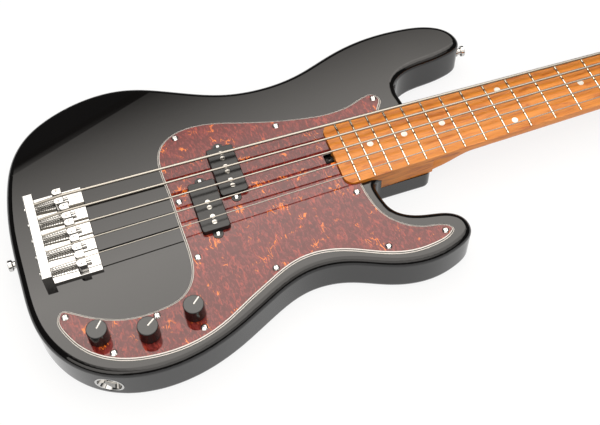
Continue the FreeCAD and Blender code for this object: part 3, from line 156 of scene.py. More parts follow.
class HardwareSettings(bpy.types.PropertyGroup):
    """Sizes of the springs and knob lines."""
    spring_wire: length_property("Spring wire", "Thickness of the intonation springs' wire", 0.65)
    spring_radius: length_property("Spring radius", "Middle radius of the intonation springs", 2.135)
    spring_turns: IntProperty(name="Spring turns", description="Turns of each intonation spring",
                              default=8, min=3, max=20)
    line_width: length_property("Line width", "Width of the line on each knob", 1.3)
    line_length: length_property("Line length", "Length of the line on each knob", 8.6)


class StageSettings(bpy.types.PropertyGroup):
    """Camera and light of the photo stage."""
    lens: FloatProperty(name="Lens", description="Focal length on a 36 mm wide sensor",
                        default=62.2, min=10, max=300, unit="CAMERA")
    eye: FloatVectorProperty(name="Camera place", description="Where the camera stands",
                             default=(0.0385, -0.5661, 0.8741), subtype="TRANSLATION", unit="LENGTH")
    azimuth: FloatProperty(name="Azimuth", description="Direction of the camera round the instrument",
                           default=math.radians(-17.949), subtype="ANGLE", unit="ROTATION")
    elevation: FloatProperty(name="Elevation", description="Height of the camera's view over the floor",
                             default=math.radians(56.794), subtype="ANGLE", unit="ROTATION")
    roll: FloatProperty(name="Roll", description="Tilt of the camera about its own view",
                        default=math.radians(-1.478), subtype="ANGLE", unit="ROTATION")
    panel_level: FloatProperty(name="Overhead light", description="Brightness of the softbox overhead",
                               default=4.9, min=0.0, max=30.0)
    front_level: FloatProperty(name="Front light", description="Brightness of the softbox behind the camera",
                               default=2.0, min=0.0, max=30.0)
    left_level: FloatProperty(name="Left light", description="Brightness of the softbox beyond the bridge",
                              default=2.2, min=0.0, max=30.0)
    room_level: FloatProperty(name="Room", description="Brightness of the dim room round the stage",
                              default=0.06, min=0.0, max=2.0)


SETTINGS = {
    "bass_finish": FinishSettings,
    "bass_strings": StringSettings,
    "bass_hardware": HardwareSettings,
    "bass_stage": StageSettings,
}


# Node materials


def add(tree, kind, inputs=(), stops=(), **settings):
    """Adds a node with its settings, its values or links, and a ramp's colour stops from low to high."""
    node = tree.nodes.new(kind)
    for name, value in settings.items():
        setattr(node, name, value)
    for key, value in dict(inputs).items():
        if isinstance(value, bpy.types.NodeSocket):
            tree.links.new(value, node.inputs[key])
        else:
            node.inputs[key].default_value = value
    if stops:
        ramp = node.color_ramp
        ramp.elements.remove(ramp.elements[1])
        ramp.elements[0].position, ramp.elements[0].color = stops[0]
        for place, colour in stops[1:]:
            ramp.elements.new(place).color = colour
    return node


def new_finish(name):
    """An empty node material, its tree and its place socket in metres."""
    material = bpy.data.materials.new(name)
    material.use_nodes = True
    tree = material.node_tree
    tree.nodes.clear()
    return material, tree, add(tree, "ShaderNodeTexCoord").outputs["Object"]


def surface(tree, inputs):
    shader = add(tree, "ShaderNodeBsdfPrincipled", inputs)
    add(tree, "ShaderNodeOutputMaterial", {"Surface": shader.outputs["BSDF"]})


def per_mm(size):
    """The texture scale at which a pattern's features are about that many millimetres."""
    return 1.0 / (size * MM)


def grey(value):
    return (value, value, value, 1.0)


# Flakes of the pickguard sheet: size in mm, stretch, twist, detail,
# how the noise becomes flakes, least cloud, colour
FLAKES = (
    (2.1, 2.2, 0.6, 2.0, ((0.50, 0.0), (0.62, 1.0)), 0.0, "#7c2d29"),
    (3.4, 3.2, 1.2, 3.0, ((0.57, 0.0), (0.64, 1.0)), 0.2, "#98382a"),
    (8.0, 2.6, 1.6, 1.5, ((0.470, 0.0), (0.485, 1.0), (0.515, 1.0), (0.530, 0.0)), 0.56, "#ee7a20"),
)
FLAKE_ANGLE = math.radians(6)


def black_lacquer(colours):
    """Polyester lacquer, sprayed and buffed: black depth under a mirror gloss with a trace of orange peel."""
    material, tree, place = new_finish("buffed_black_lacquer")
    cloud = add(tree, "ShaderNodeTexNoise", {"Vector": place, "Scale": per_mm(90), "Detail": 3.0})
    tone = add(tree, "ShaderNodeValToRGB", {"Fac": cloud.outputs["Fac"]},
               stops=[(0.3, opaque(colours.lacquer, 0.75)), (0.7, opaque(colours.lacquer))])
    haze = add(tree, "ShaderNodeMapRange", {"Value": cloud.outputs["Fac"], "To Min": 0.03, "To Max": 0.055})
    peel = add(tree, "ShaderNodeTexNoise", {"Vector": place, "Scale": per_mm(7), "Detail": 1.0})
    bump = add(tree, "ShaderNodeBump", {"Height": peel.outputs["Fac"], "Strength": 0.02,
                                        "Distance": 0.2 * MM})
    surface(tree, {"Base Color": tone.outputs["Color"], "Roughness": haze.outputs["Result"],
                   "IOR": 1.52, "Normal": bump.outputs["Normal"]})
    return material


def roasted_maple(colours):
    """Maple, baked brown and oiled: smoky streaks along the grain, fine pores and a satin sheen."""
    material, tree, place = new_finish("roasted_maple")
    along = add(tree, "ShaderNodeMapping", {"Vector": place, "Scale": (0.17, 1.0, 1.0)})
    streak = add(tree, "ShaderNodeTexNoise", {"Vector": along.outputs["Vector"], "Scale": per_mm(6),
                                              "Detail": 4.0, "Roughness": 0.55, "Distortion": 0.8})
    mid = colours.maple
    tone = add(tree, "ShaderNodeValToRGB", {"Fac": streak.outputs["Fac"]},
               stops=[(0.30, (mid[0] * 0.66, mid[1] * 0.5, mid[2] * 0.42, 1.0)),
                      (0.48, opaque(mid)),
                      (0.70, (min(1.0, mid[0] * 1.14), mid[1] * 1.24, mid[2] * 1.5, 1.0))])
    fine = add(tree, "ShaderNodeMapping", {"Vector": place, "Scale": (0.035, 1.0, 1.0)})
    line = add(tree, "ShaderNodeTexNoise", {"Vector": fine.outputs["Vector"], "Scale": per_mm(1.1),
                                            "Detail": 3.0, "Roughness": 0.7})
    pore = add(tree, "ShaderNodeMapRange", {"Value": line.outputs["Fac"], "From Min": 0.3, "From Max": 0.6,
                                            "To Min": 0.84, "To Max": 1.05})
    shade = add(tree, "ShaderNodeHueSaturation", {"Color": tone.outputs["Color"],
                                                  "Value": pore.outputs["Result"]})
    sheen = add(tree, "ShaderNodeMapRange", {"Value": line.outputs["Fac"], "To Min": 0.34, "To Max": 0.48})
    bump = add(tree, "ShaderNodeBump", {"Height": line.outputs["Fac"], "Strength": 0.12,
                                        "Distance": 0.15 * MM})
    surface(tree, {"Base Color": shade.outputs["Color"], "Roughness": sheen.outputs["Result"],
                   "IOR": 1.5, "Normal": bump.outputs["Normal"]})
    return material


def tortoiseshell(colours):
    """Celluloid sheet pressed from flakes and polished: deep red, with specks, streaks and orange flames."""
    material, tree, place = new_finish("mottled_pickguard_sheet")
    red = colours.guard
    cloud = add(tree, "ShaderNodeTexNoise", {"Vector": place, "Scale": per_mm(16), "Detail": 3.0})
    colour = add(tree, "ShaderNodeValToRGB", {"Fac": cloud.outputs["Fac"]},
                 stops=[(0.32, opaque(red, 0.7)), (0.62, opaque(red))]).outputs["Color"]
    for size, stretch, twist, detail, stops, least, shade in FLAKES:
        lay = add(tree, "ShaderNodeMapping", {"Vector": place, "Rotation": (0.0, 0.0, FLAKE_ANGLE),
                                              "Scale": (1.0, stretch, 1.0)}, vector_type="TEXTURE")
        flake = add(tree, "ShaderNodeTexNoise", {"Vector": lay.outputs["Vector"], "Scale": per_mm(size),
                                                 "Detail": detail, "Roughness": 0.6, "Distortion": twist})
        flake = add(tree, "ShaderNodeValToRGB", {"Fac": flake.outputs["Fac"]},
                    stops=[(value, grey(share)) for value, share in stops])
        patch = add(tree, "ShaderNodeMapRange", {"Value": cloud.outputs["Fac"], "From Min": least,
                                                 "From Max": least + 0.06})
        share = add(tree, "ShaderNodeMath", {0: flake.outputs["Color"], 1: patch.outputs["Result"]},
                    operation="MULTIPLY")
        colour = add(tree, "ShaderNodeMixRGB", {"Fac": share.outputs["Value"], "Color1": colour,
                                                "Color2": paint(shade)}).outputs["Color"]
    low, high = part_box("pickguard")
    height = add(tree, "ShaderNodeSeparateXYZ", {"Vector": place})
    level = add(tree, "ShaderNodeMapRange", {"Value": height.outputs["Z"], "From Min": low.z,
                                             "From Max": high.z})
    plies = add(tree, "ShaderNodeValToRGB", {"Fac": level.outputs["Result"]},
                stops=[(0.0, paint("#ddd8d2")), (0.42, paint("#171515")), (0.62, paint("#e6e0da"))])
    plies.color_ramp.interpolation = "CONSTANT"
    top = add(tree, "ShaderNodeMath", {0: level.outputs["Result"], 1: 0.9}, operation="GREATER_THAN")
    colour = add(tree, "ShaderNodeMixRGB", {"Fac": top.outputs["Value"], "Color1": plies.outputs["Color"],
                                            "Color2": colour})
    gloss = add(tree, "ShaderNodeMapRange", {"Value": cloud.outputs["Fac"], "To Min": 0.03, "To Max": 0.07})
    surface(tree, {"Base Color": colour.outputs["Color"], "Roughness": gloss.outputs["Result"], "IOR": 1.47})
    return material


def bright_metal(name, hex_colour, low, high, size, depth=0.0):
    """A metal whose polish varies between two roughnesses, with marks of a size and depth in millimetres."""
    material, tree, place = new_finish(name)
    wipe = add(tree, "ShaderNodeTexNoise", {"Vector": place, "Scale": per_mm(size), "Detail": 4.0,
                                            "Roughness": 0.6})
    rough = add(tree, "ShaderNodeMapRange", {"Value": wipe.outputs["Fac"], "From Min": 0.3, "From Max": 0.7,
                                             "To Min": low, "To Max": high})
    tone = add(tree, "ShaderNodeValToRGB", {"Fac": wipe.outputs["Fac"]},
               stops=[(0.35, opaque(linear(hex_colour), 0.9)), (0.6, paint(hex_colour))])
    bump = add(tree, "ShaderNodeBump", {"Height": wipe.outputs["Fac"], "Strength": 0.05,
                                        "Distance": depth * MM})
    surface(tree, {"Base Color": tone.outputs["Color"], "Metallic": 1.0, "Roughness": rough.outputs["Result"],
                   "Normal": bump.outputs["Normal"]})
    return material


def chrome(colours):
    """Chromium plate on polished metal: a bright mirror with faint buffing marks."""
    return bright_metal("chrome_plate", "#cbcac8", 0.04, 0.08, 3.0, 0.002)


def fret_metal(colours):
    """Nickel silver wire, crowned and polished: slightly yellow, with dull spots where strings press."""
    return bright_metal("nickel_silver", "#e6dfcc", 0.12, 0.24, 2.0, 0.03)


def steel(colours):
    """Plain drawn steel: grey, with soft streaky gloss."""
    return bright_metal("drawn_steel", "#b9b6b0", 0.2, 0.34, 1.2, 0.03)


def dark_steel(colours):
    """Blackened steel: oiled oxide, dark and satin."""
    return bright_metal("blackened_steel", "#2a2928", 0.32, 0.46, 1.0, 0.03)


def string_steel(colours):
    """Nickel plated wrap wire: pale grey, bright on each turn and dull in the valleys."""
    return bright_metal("wrap_wire", "#a9a49b", 0.24, 0.36, 0.8, 0.02)


def pearl(colours):
    """Pearl sheet, sawn and polished: milky bands that drift between cream, rose and green."""
    material, tree, place = new_finish("pearl_inlay")
    drift = add(tree, "ShaderNodeTexNoise", {"Vector": place, "Scale": per_mm(2.2), "Detail": 3.0,
                                             "Distortion": 1.5})
    tone = add(tree, "ShaderNodeValToRGB", {"Fac": drift.outputs["Fac"]},
               stops=[(0.3, paint("#e6e4d6")), (0.45, paint("#f6efe6")), (0.58, paint("#dfe6da")),
                      (0.7, paint("#f3e3df"))])
    surface(tree, {"Base Color": tone.outputs["Color"], "Roughness": 0.18, "IOR": 1.55})
    return material


def bone(colours):
    """Bleached bone, filed and polished: ivory with faint darker fibres."""
    material, tree, place = new_finish("bleached_bone")
    along = add(tree, "ShaderNodeMapping", {"Vector": place, "Scale": (1.0, 0.15, 1.0)})
    fibre = add(tree, "ShaderNodeTexNoise", {"Vector": along.outputs["Vector"], "Scale": per_mm(0.9),
                                             "Detail": 3.0})
    tone = add(tree, "ShaderNodeValToRGB", {"Fac": fibre.outputs["Fac"]},
               stops=[(0.3, paint("#d9cdb2")), (0.6, paint("#efe6d2"))])
    surface(tree, {"Base Color": tone.outputs["Color"], "Roughness": 0.32, "IOR": 1.54})
    return material


def moulded_plastic(name, colours, low, high):
    """Moulded black plastic whose gloss varies between two roughnesses, with a fine even grain."""
    material, tree, place = new_finish(name)
    grain = add(tree, "ShaderNodeTexNoise", {"Vector": place, "Scale": per_mm(0.5), "Detail": 2.0})
    wear = add(tree, "ShaderNodeTexNoise", {"Vector": place, "Scale": per_mm(12), "Detail": 4.0})
    tone = add(tree, "ShaderNodeValToRGB", {"Fac": wear.outputs["Fac"]},
               stops=[(0.3, opaque(colours.plastic, 0.8)), (0.7, opaque(colours.plastic, 1.25))])
    rough = add(tree, "ShaderNodeMapRange", {"Value": wear.outputs["Fac"], "To Min": low, "To Max": high})
    bump = add(tree, "ShaderNodeBump", {"Height": grain.outputs["Fac"], "Strength": 0.1,
                                        "Distance": 0.05 * MM})
    surface(tree, {"Base Color": tone.outputs["Color"], "Roughness": rough.outputs["Result"], "IOR": 1.53,
                   "Normal": bump.outputs["Normal"]})
    return material


def black_plastic(colours):
    """ABS, moulded satin: near black, with a soft broad sheen on the pickup covers."""
    return moulded_plastic("satin_black_abs", colours, 0.28, 0.4)


def knob_plastic(colours):
    """Phenolic resin, moulded and tumbled: near black and glossy, so that the knobs' tops catch the light."""
    return moulded_plastic("glossy_black_resin", colours, 0.1, 0.18)


def coil(colours):
    """Enamelled wire under cloth tape: dark brown with a fine crossing weave."""
    material, tree, place = new_finish("coil_tape")
    weave = add(tree, "ShaderNodeTexNoise", {"Vector": place, "Scale": per_mm(0.8), "Detail": 2.0})
    tone = add(tree, "ShaderNodeValToRGB", {"Fac": weave.outputs["Fac"]},
               stops=[(0.35, paint("#17100c")), (0.65, paint("#33231a"))])
    bump = add(tree, "ShaderNodeBump", {"Height": weave.outputs["Fac"], "Strength": 0.3,
                                        "Distance": 0.1 * MM})
    surface(tree, {"Base Color": tone.outputs["Color"], "Roughness": 0.7, "Normal": bump.outputs["Normal"]})
    return material


def line_paint(colours):
    """Filled enamel line: chalky white with slight unevenness."""
    material, tree, place = new_finish("white_line_enamel")
    cloud = add(tree, "ShaderNodeTexNoise", {"Vector": place, "Scale": per_mm(1.5), "Detail": 2.0})
    tone = add(tree, "ShaderNodeValToRGB", {"Fac": cloud.outputs["Fac"]},
               stops=[(0.3, opaque(colours.pointer, 0.9)), (0.6, opaque(colours.pointer))])
    surface(tree, {"Base Color": tone.outputs["Color"], "Roughness": 0.4})
    return material


FINISHES = {
    "black_lacquer": black_lacquer,
    "roasted_maple": roasted_maple,
    "fret_metal": fret_metal,
    "pearl": pearl,
    "bone": bone,
    "steel": steel,
    "dark_steel": dark_steel,
    "chrome": chrome,
    "tortoiseshell": tortoiseshell,
    "black_plastic": black_plastic,
    "knob_plastic": knob_plastic,
    "coil": coil,
    "string_steel": string_steel,
}
made_finishes = {}


def finish_of(slot):
    """The one material made for a slot of the record, or for a kind of piece within one."""
    if slot not in made_finishes:
        made_finishes[slot] = FINISHES[slot](bpy.context.scene.bass_finish)
    return made_finishes[slot]


# Pieces


def linked(name, data):
    """A new object of the scene that holds the data."""
    thing = bpy.data.objects.new(name, data)
    bpy.context.scene.collection.objects.link(thing)
    return thing


def mesh_from(bm, name):
    """A new mesh of a working mesh, which is freed."""
    mesh = bpy.data.meshes.new(name)
    bm.to_mesh(mesh)
    bm.free()
    return mesh


def piece_from(mesh, name, slot, material=None):
    """A shown object at the origin for a finished mesh."""
    mesh.name = name
    mesh.materials.clear()
    mesh.materials.append(material or finish_of(slot))
    piece = linked(name, mesh)
    return piece


def settled_mesh(thing):
    """The mesh of an object with its modifiers, after which the object is removed."""
    bpy.context.view_layer.update()
    seen = thing.evaluated_get(bpy.context.evaluated_depsgraph_get())
    mesh = bpy.data.meshes.new_from_object(seen)
    bpy.data.objects.remove(thing)
    return mesh


def bezier_curve(name, nodes):
    """A curve through places with headings, each span as near a circle's arc as its ends allow."""
    curve = bpy.data.curves.new(name, "CURVE")
    curve.dimensions = "3D"
    curve.resolution_u = 12
    spline = curve.splines.new("BEZIER")
    spline.bezier_points.add(len(nodes) - 1)
    spans = []
    for (start, before), (end, after) in zip(nodes, nodes[1:]):
        half_turn = before.angle(after) / 2
        spans.append((end - start).length * 2 / 3 / (1 + math.cos(half_turn)))
    reaches = zip(spline.bezier_points, nodes, [0.0] + spans, spans + [0.0])
    for point, (place, heading), behind, ahead in reaches:
        point.handle_left_type = point.handle_right_type = "FREE"
        point.co = place
        point.handle_left = place - heading * behind
        point.handle_right = place + heading * ahead
    return linked(name, curve)


def middle_of(node):
    """Middle of a solid's box."""
    low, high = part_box(node)
    return (low + high) / 2


# Strings from thickest to thinnest: thickness, setback of the saddle, turns round the post
GAUGES = (3.3 * MM, 2.7 * MM, 2.15 * MM, 1.65 * MM, 1.15 * MM)
SETBACKS = (5.8 * MM, 2.4 * MM, 1.4 * MM, 0.6 * MM, 0.2 * MM)
POST_TURNS = (2, 2, 3, 3, 4)
MIDDLE_STRING = 3
# Places along the strings, in the frame of the solids
FRET_TOP = 52.0 * MM
SADDLE_ACTION = 4.9 * MM
NUT_ACTION = 0.5 * MM
NUT_X = 866.1 * MM
NUT_SPACING = 9.6 * MM
RETAINER_X = 886.6 * MM
RETAINER_UNDER = 48.5 * MM
BALL_X = -35.5 * MM
BALL_Z = 55.8 * MM
TAIL_FRONT = -31.5 * MM
POST_RADIUS = 5.8 * MM
WIND_LOW = 47.3 * MM
WIND_HIGH = 55.7 * MM
# Sizes of the strings' bends, cuts and ball ends
BEND_RUN = 2.0 * MM
SLOT_LEAD = math.radians(30)
CUT_GAP = 0.02 * MM
STRING_EASE = 60.0 * MM
LEAST_GUIDE_POINTS = 8
ROW_MERGE_SHARE = 0.05
MERGE_SHARE = 0.04
BALL_RADIUS = 2.4 * MM
BALL_LENGTH = 4.0 * MM
BALL_STEPS = 20


def string_places(number):
    """A string's corners, its post's middle, and the side, radius and first angle of its turns there."""
    gauge = GAUGES[number - 1]
    saddle_y = middle_of(f"saddle_{number}").y
    ball = Vector((BALL_X, saddle_y, BALL_Z))
    leave = Vector((TAIL_FRONT + BEND_RUN, saddle_y, BALL_Z))
    saddle = Vector((-SETBACKS[number - 1], saddle_y, FRET_TOP + SADDLE_ACTION + gauge / 2))
    nut = Vector((NUT_X, (MIDDLE_STRING - number) * NUT_SPACING, FRET_TOP + NUT_ACTION + gauge / 2))
    post = middle_of(f"tuner_post_{number}")
    side = math.copysign(1, post.y)
    radius = POST_RADIUS + gauge / 2
    gap = Vector((post.x - nut.x, post.y - nut.y))
    heading = math.atan2(gap.y, gap.x) - side * math.asin(radius / gap.length)
    run = math.sqrt(gap.length ** 2 - radius ** 2)
    touch = Vector((nut.x + run * math.cos(heading), nut.y + run * math.sin(heading), WIND_LOW + gauge / 2))
    under = nut.lerp(touch, (RETAINER_X - nut.x) / (touch.x - nut.x))
    under.z = RETAINER_UNDER - gauge / 2
    angle = math.atan2(touch.y - post.y, touch.x - post.x)
    return [ball, leave, saddle, nut, under, touch], post, side, radius, angle


def string_nodes(number):
    """Places and headings along a string: straight runs, bends, turns round the post, its end in the slot."""
    gauge = GAUGES[number - 1]
    points, post, side, radius, first = string_places(number)
    runs = [(b - a).normalized() for a, b in zip(points, points[1:])]
    nodes = [(points[0], runs[0])]
    for corner, before, after in zip(points[1:-1], runs, runs[1:]):
        nodes += [(corner - before * BEND_RUN, before), (corner + after * BEND_RUN, after)]
    nodes.append((points[-1], runs[-1]))
    quarters = 4 * POST_TURNS[number - 1]
    climb = WIND_HIGH - WIND_LOW
    for k in range(1, quarters + 1):
        angle = first + side * k * TURN / 4
        outward = Vector((math.cos(angle), math.sin(angle), 0))
        rise = climb / quarters / (radius * TURN / 4) if k < quarters else 0.0
        place = Vector((post.x, post.y, WIND_LOW + gauge / 2 + climb * k / quarters)) + outward * radius
        nodes.append((place, (Z_AXIS.cross(outward) * side + Z_AXIS * rise).normalized()))
    mouth = first + side * SLOT_LEAD
    inward = -Vector((math.cos(mouth), math.sin(mouth), 0))
    bend = radius * math.sin(SLOT_LEAD) / (1 + math.sin(SLOT_LEAD))
    top = Vector((post.x, post.y, WIND_HIGH + gauge / 2))
    enter = top - inward * ((radius - bend) * math.cos(SLOT_LEAD))
    return nodes + [(enter, inward), (enter + inward * gauge, inward)]


def even_guide(name, thing, step):
    """A guide through evenly spaced points of a curve, and its length; the curve is removed."""
    mesh = settled_mesh(thing)
    points = [v.co.copy() for v in mesh.vertices]
    bpy.data.meshes.remove(mesh)
    spans = [(b - a).length for a, b in zip(points, points[1:])]
    length = sum(spans)
    count = max(LEAST_GUIDE_POINTS, round(length / step))
    guide = bpy.data.curves.new(name, "CURVE")
    guide.dimensions = "3D"
    spline = guide.splines.new("POLY")
    spline.points.add(count)
    span, passed = 0, 0.0
    for k in range(count + 1):
        want = length * k / count
        while span < len(spans) - 1 and passed + spans[span] < want:
            passed += spans[span]
            span += 1
        place = points[span].lerp(points[span + 1], min(1.0, (want - passed) / max(spans[span], 1e-9)))
        spline.points[k].co = (*place, 1.0)
    return linked(name, guide), length


def wrap_turn(radius, pitch, depth, sides):
    """One turn of wrap wire round a string along X: a rounded ridge, spun into a screw turn."""
    bm = bmesh.new()
    ridge = ((0.0, radius - depth), (0.5, radius), (1.0, radius - depth))
    verts = [bm.verts.new((share * pitch, 0.0, height)) for share, height in ridge]
    edges = [bm.edges.new(pair) for pair in zip(verts, verts[1:])]
    bmesh.ops.spin(bm, geom=verts + edges, cent=(0, 0, 0), axis=X_AXIS, dvec=X_AXIS * (pitch / sides),
                   angle=TURN, steps=sides)
    return mesh_from(bm, "wrap_turn")


def bent_row(turn, pitch, count, guide):
    """A row of wrap turns, joined and bent along a guide; the guide is removed."""
    tube = linked("wrap_row", turn)
    rows = tube.modifiers.new("turns", "ARRAY")
    rows.count = count
    rows.use_relative_offset = False
    rows.use_constant_offset = True
    rows.constant_offset_displace = (pitch, 0, 0)
    rows.use_merge_vertices = True
    rows.merge_threshold = pitch * ROW_MERGE_SHARE
    bend = tube.modifiers.new("route", "CURVE")
    bend.object = guide
    bend.deform_axis = "POS_X"
    wound = settled_mesh(tube)
    bpy.data.objects.remove(guide)
    return wound


def stretch_of(wound, name, low, high):
    """A closed stretch of a string between two stations along X."""
    bm = bmesh.new()
    bm.from_mesh(wound)
    for station, facing in ((low, -X_AXIS), (high, X_AXIS)):
        bmesh.ops.bisect_plane(bm, geom=bm.verts[:] + bm.edges[:] + bm.faces[:], plane_co=X_AXIS * station,
                               plane_no=facing, clear_outer=True)
        rim = [edge for edge in bm.edges if edge.is_boundary]
        for face in bmesh.ops.holes_fill(bm, edges=rim, sides=0)["faces"]:
            face.smooth = False
    return mesh_from(bm, name)


def ball_profile():
    """Half outline of a ball end: a waisted spool, from its axis round to its axis."""
    half = BALL_LENGTH / 2
    rim, groove, waist = half * 0.45, half * 0.3, BALL_RADIUS * 0.72
    return ((-half, 0.0), (-half, BALL_RADIUS), (-rim, BALL_RADIUS), (-groove, waist),
            (groove, waist), (rim, BALL_RADIUS), (half, BALL_RADIUS), (half, 0.0))


class BASS_OT_strings(bpy.types.Operator):
    """Winds the five strings from ball end to tuner post"""
    bl_idname = "bass.strings"
    bl_label = "Strings"

    def execute(self, context):
        sizes = context.scene.bass_strings
        for number in STRINGS:
            self.wind(number, sizes)
        return {"FINISHED"}

    def wind(self, number, sizes):
        """Winds a string along its route and adds its ball end."""
        gauge = GAUGES[number - 1]
        pitch = max(gauge * sizes.wrap_share, sizes.least_wrap)
        merge = pitch * MERGE_SHARE
        route = bezier_curve(f"route_{number}", string_nodes(number))
        guide, length = even_guide(f"guide_{number}", route, sizes.step)
        turn = wrap_turn(gauge / 2, pitch, pitch * sizes.wrap_depth_share, sizes.sides)
        wound = bent_row(turn, pitch, int(length / pitch) - 1, guide)
        bm = bmesh.new()
        bm.from_mesh(wound)
        bmesh.ops.remove_doubles(bm, verts=bm.verts, dist=merge)
        bmesh.ops.holes_fill(bm, edges=[e for e in bm.edges if e.is_boundary], sides=0)
        ball = Vector((BALL_X - BALL_LENGTH / 2, middle_of(f"saddle_{number}").y, BALL_Z))
        verts = [bm.verts.new(ball + Vector((x, 0, r))) for x, r in ball_profile()]
        edges = [bm.edges.new(pair) for pair in zip(verts, verts[1:])]
        bmesh.ops.spin(bm, geom=verts + edges, cent=ball, axis=X_AXIS, angle=TURN, steps=BALL_STEPS,
                       use_merge=True)
        bmesh.ops.remove_doubles(bm, verts=bm.verts, dist=merge)
        bmesh.ops.recalc_face_normals(bm, faces=bm.faces)
        for face in bm.faces:
            face.smooth = True
        bm.to_mesh(wound)
        bm.free()
        self.follow(number, wound)
        bpy.data.meshes.remove(wound)

    def follow(self, number, wound):
        """Cuts a string at its saddle and its post into three closed stretches."""
        gauge = GAUGES[number - 1]
        behind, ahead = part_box(f"saddle_{number}")
        points, post, _, radius, _ = string_places(number)
        crest = points[2].x
        near_post = post.x - radius - gauge
        saddle = f"saddle_block_{number}"
        level = middle_of(f"saddle_{number}")
        stretches = (
            ("string_tail", CAD_BOX[0].x, crest - CUT_GAP, ROOT_BODY, saddle,
             (TAIL_FRONT + 2 * BEND_RUN, level.y, level.z), (behind.x, level.y, level.z)),
            ("wound_string", crest + CUT_GAP, near_post - CUT_GAP, saddle, ROOT_BODY,
             (ahead.x, level.y, level.z), (ahead.x + STRING_EASE, level.y, level.z)),
            ("string_turns", near_post + CUT_GAP, CAD_BOX[1].x, ROOT_BODY, f"tuner_post_body_{number}",
             (post.x, post.y, WIND_LOW + gauge), (post.x, post.y, WIND_HIGH)))
        for name, low, high, before, after, start, end in stretches:
            piece = piece_from(stretch_of(wound, name, low, high), f"{name}_{number}", "string_steel")
            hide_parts(f"string_{number}")
            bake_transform(piece)


SPRING_GAP = 0.3 * MM
CLOSED_TURN_SHARE = 1.25
CLOSED_QUARTERS = 4


class BASS_OT_springs(bpy.types.Operator):
    """Coils the springs between the bridge's tail and its saddles"""
    bl_idname = "bass.springs"
    bl_label = "Intonation springs"

    def execute(self, context):
        sizes = context.scene.bass_hardware
        for number in STRINGS:
            self.coil_spring(number, sizes)
        return {"FINISHED"}

    def coil_spring(self, number, sizes):
        """Coils a spring with a closed turn at each end."""
        wire = sizes.spring_wire
        screw = middle_of(f"intonation_screw_{number}")
        start = TAIL_FRONT + SPRING_GAP + wire / 2
        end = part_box(f"saddle_{number}")[0].x - SPRING_GAP - wire / 2
        closed = CLOSED_TURN_SHARE * wire
        quarters = 4 * sizes.spring_turns
        stations = []
        for k in range(-CLOSED_QUARTERS, quarters + CLOSED_QUARTERS + 1):
            main = min(max(k, 0), quarters) / quarters
            x = start + closed + (end - start - 2 * closed) * main
            x += closed * (min(k, 0) + max(k - quarters, 0)) / CLOSED_QUARTERS
            stations.append((k * TURN / 4, x))
        nodes = []
        for k, (angle, x) in enumerate(stations):
            behind, ahead = stations[max(k - 1, 0)], stations[min(k + 1, len(stations) - 1)]
            slope = (ahead[1] - behind[1]) / (ahead[0] - behind[0]) / sizes.spring_radius
            across = Vector((0, math.cos(angle), math.sin(angle)))
            heading = (X_AXIS.cross(across) + X_AXIS * slope).normalized()
            nodes.append((Vector((x, screw.y, screw.z)) + across * sizes.spring_radius, heading))
        thing = bezier_curve(f"spring_route_{number}", nodes)
        thing.data.resolution_u = 5
        thing.data.bevel_depth = wire / 2
        thing.data.bevel_resolution = 3
        thing.data.use_fill_caps = True
        piece = piece_from(settled_mesh(thing), f"coil_spring_{number}", "steel")
        piece.data.shade_smooth()
        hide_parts("intonation_springs")
        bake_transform(piece)


LINE_ANGLES = (math.radians(50), math.radians(35), math.radians(41))
LINE_DEPTH = 0.38 * MM
LINE_INSET = 0.1 * MM
LINE_END_SHARE = 0.42
LINE_CROWN_SHARE = 0.2


class BASS_OT_knob_lines(bpy.types.Operator):
    """Fills the groove on top of each knob with its line"""
    bl_idname = "bass.knob_lines"
    bl_label = "Knob lines"

    def execute(self, context):
        sizes = context.scene.bass_hardware
        enamel = line_paint(context.scene.bass_finish)
        for number, angle in zip(KNOBS, LINE_ANGLES):
            mesh = self.line_mesh(number, angle, sizes)
            piece = piece_from(mesh, f"knob_line_{number}", "black_plastic", enamel)
            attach(piece, f"control_knob_{number}")
        return {"FINISHED"}

    def line_mesh(self, number, angle, sizes):
        """A bar with round ends and a soft crown, level with a knob's top and turned to its angle."""
        low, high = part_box(f"knob_{number}")
        bm = bmesh.new()
        bmesh.ops.create_cube(bm, size=1.0)
        bmesh.ops.scale(bm, vec=(sizes.line_length, sizes.line_width, LINE_DEPTH), verts=bm.verts)
        upright = [e for e in bm.edges if abs((e.verts[0].co - e.verts[1].co).normalized().z) > 0.5]
        bmesh.ops.bevel(bm, geom=upright, offset=sizes.line_width * LINE_END_SHARE, affect="EDGES",
                        segments=4, profile=0.5, material=-1)
        crown = [e for e in bm.edges if all(v.co.z > LINE_DEPTH * 0.4 for v in e.verts)]
        bmesh.ops.bevel(bm, geom=crown, offset=LINE_DEPTH * LINE_CROWN_SHARE, affect="EDGES",
                        segments=2, profile=0.5, material=-1)
        outward = (sizes.line_length / 2 + LINE_INSET, 0, high.z - LINE_DEPTH / 2)
        bmesh.ops.translate(bm, vec=outward, verts=bm.verts)
        bmesh.ops.rotate(bm, cent=(0, 0, 0), matrix=Matrix.Rotation(angle, 3, "Z"), verts=bm.verts)
        bmesh.ops.translate(bm, vec=((low.x + high.x) / 2, (low.y + high.y) / 2, 0), verts=bm.verts)
        return mesh_from(bm, "knob_line")


class BASS_OT_finishes(bpy.types.Operator):
    """Gives every solid of the model its finish"""
    bl_idname = "bass.finishes"
    bl_label = "Finishes"

    def execute(self, context):
        for name, thing in frame["nodes"].items():
            for slot in thing.material_slots:
                kind = slot.material.name.split(".")[0]
                slot.material = finish_of("knob_plastic" if name.startswith("knob_") else kind)
        return {"FINISHED"}


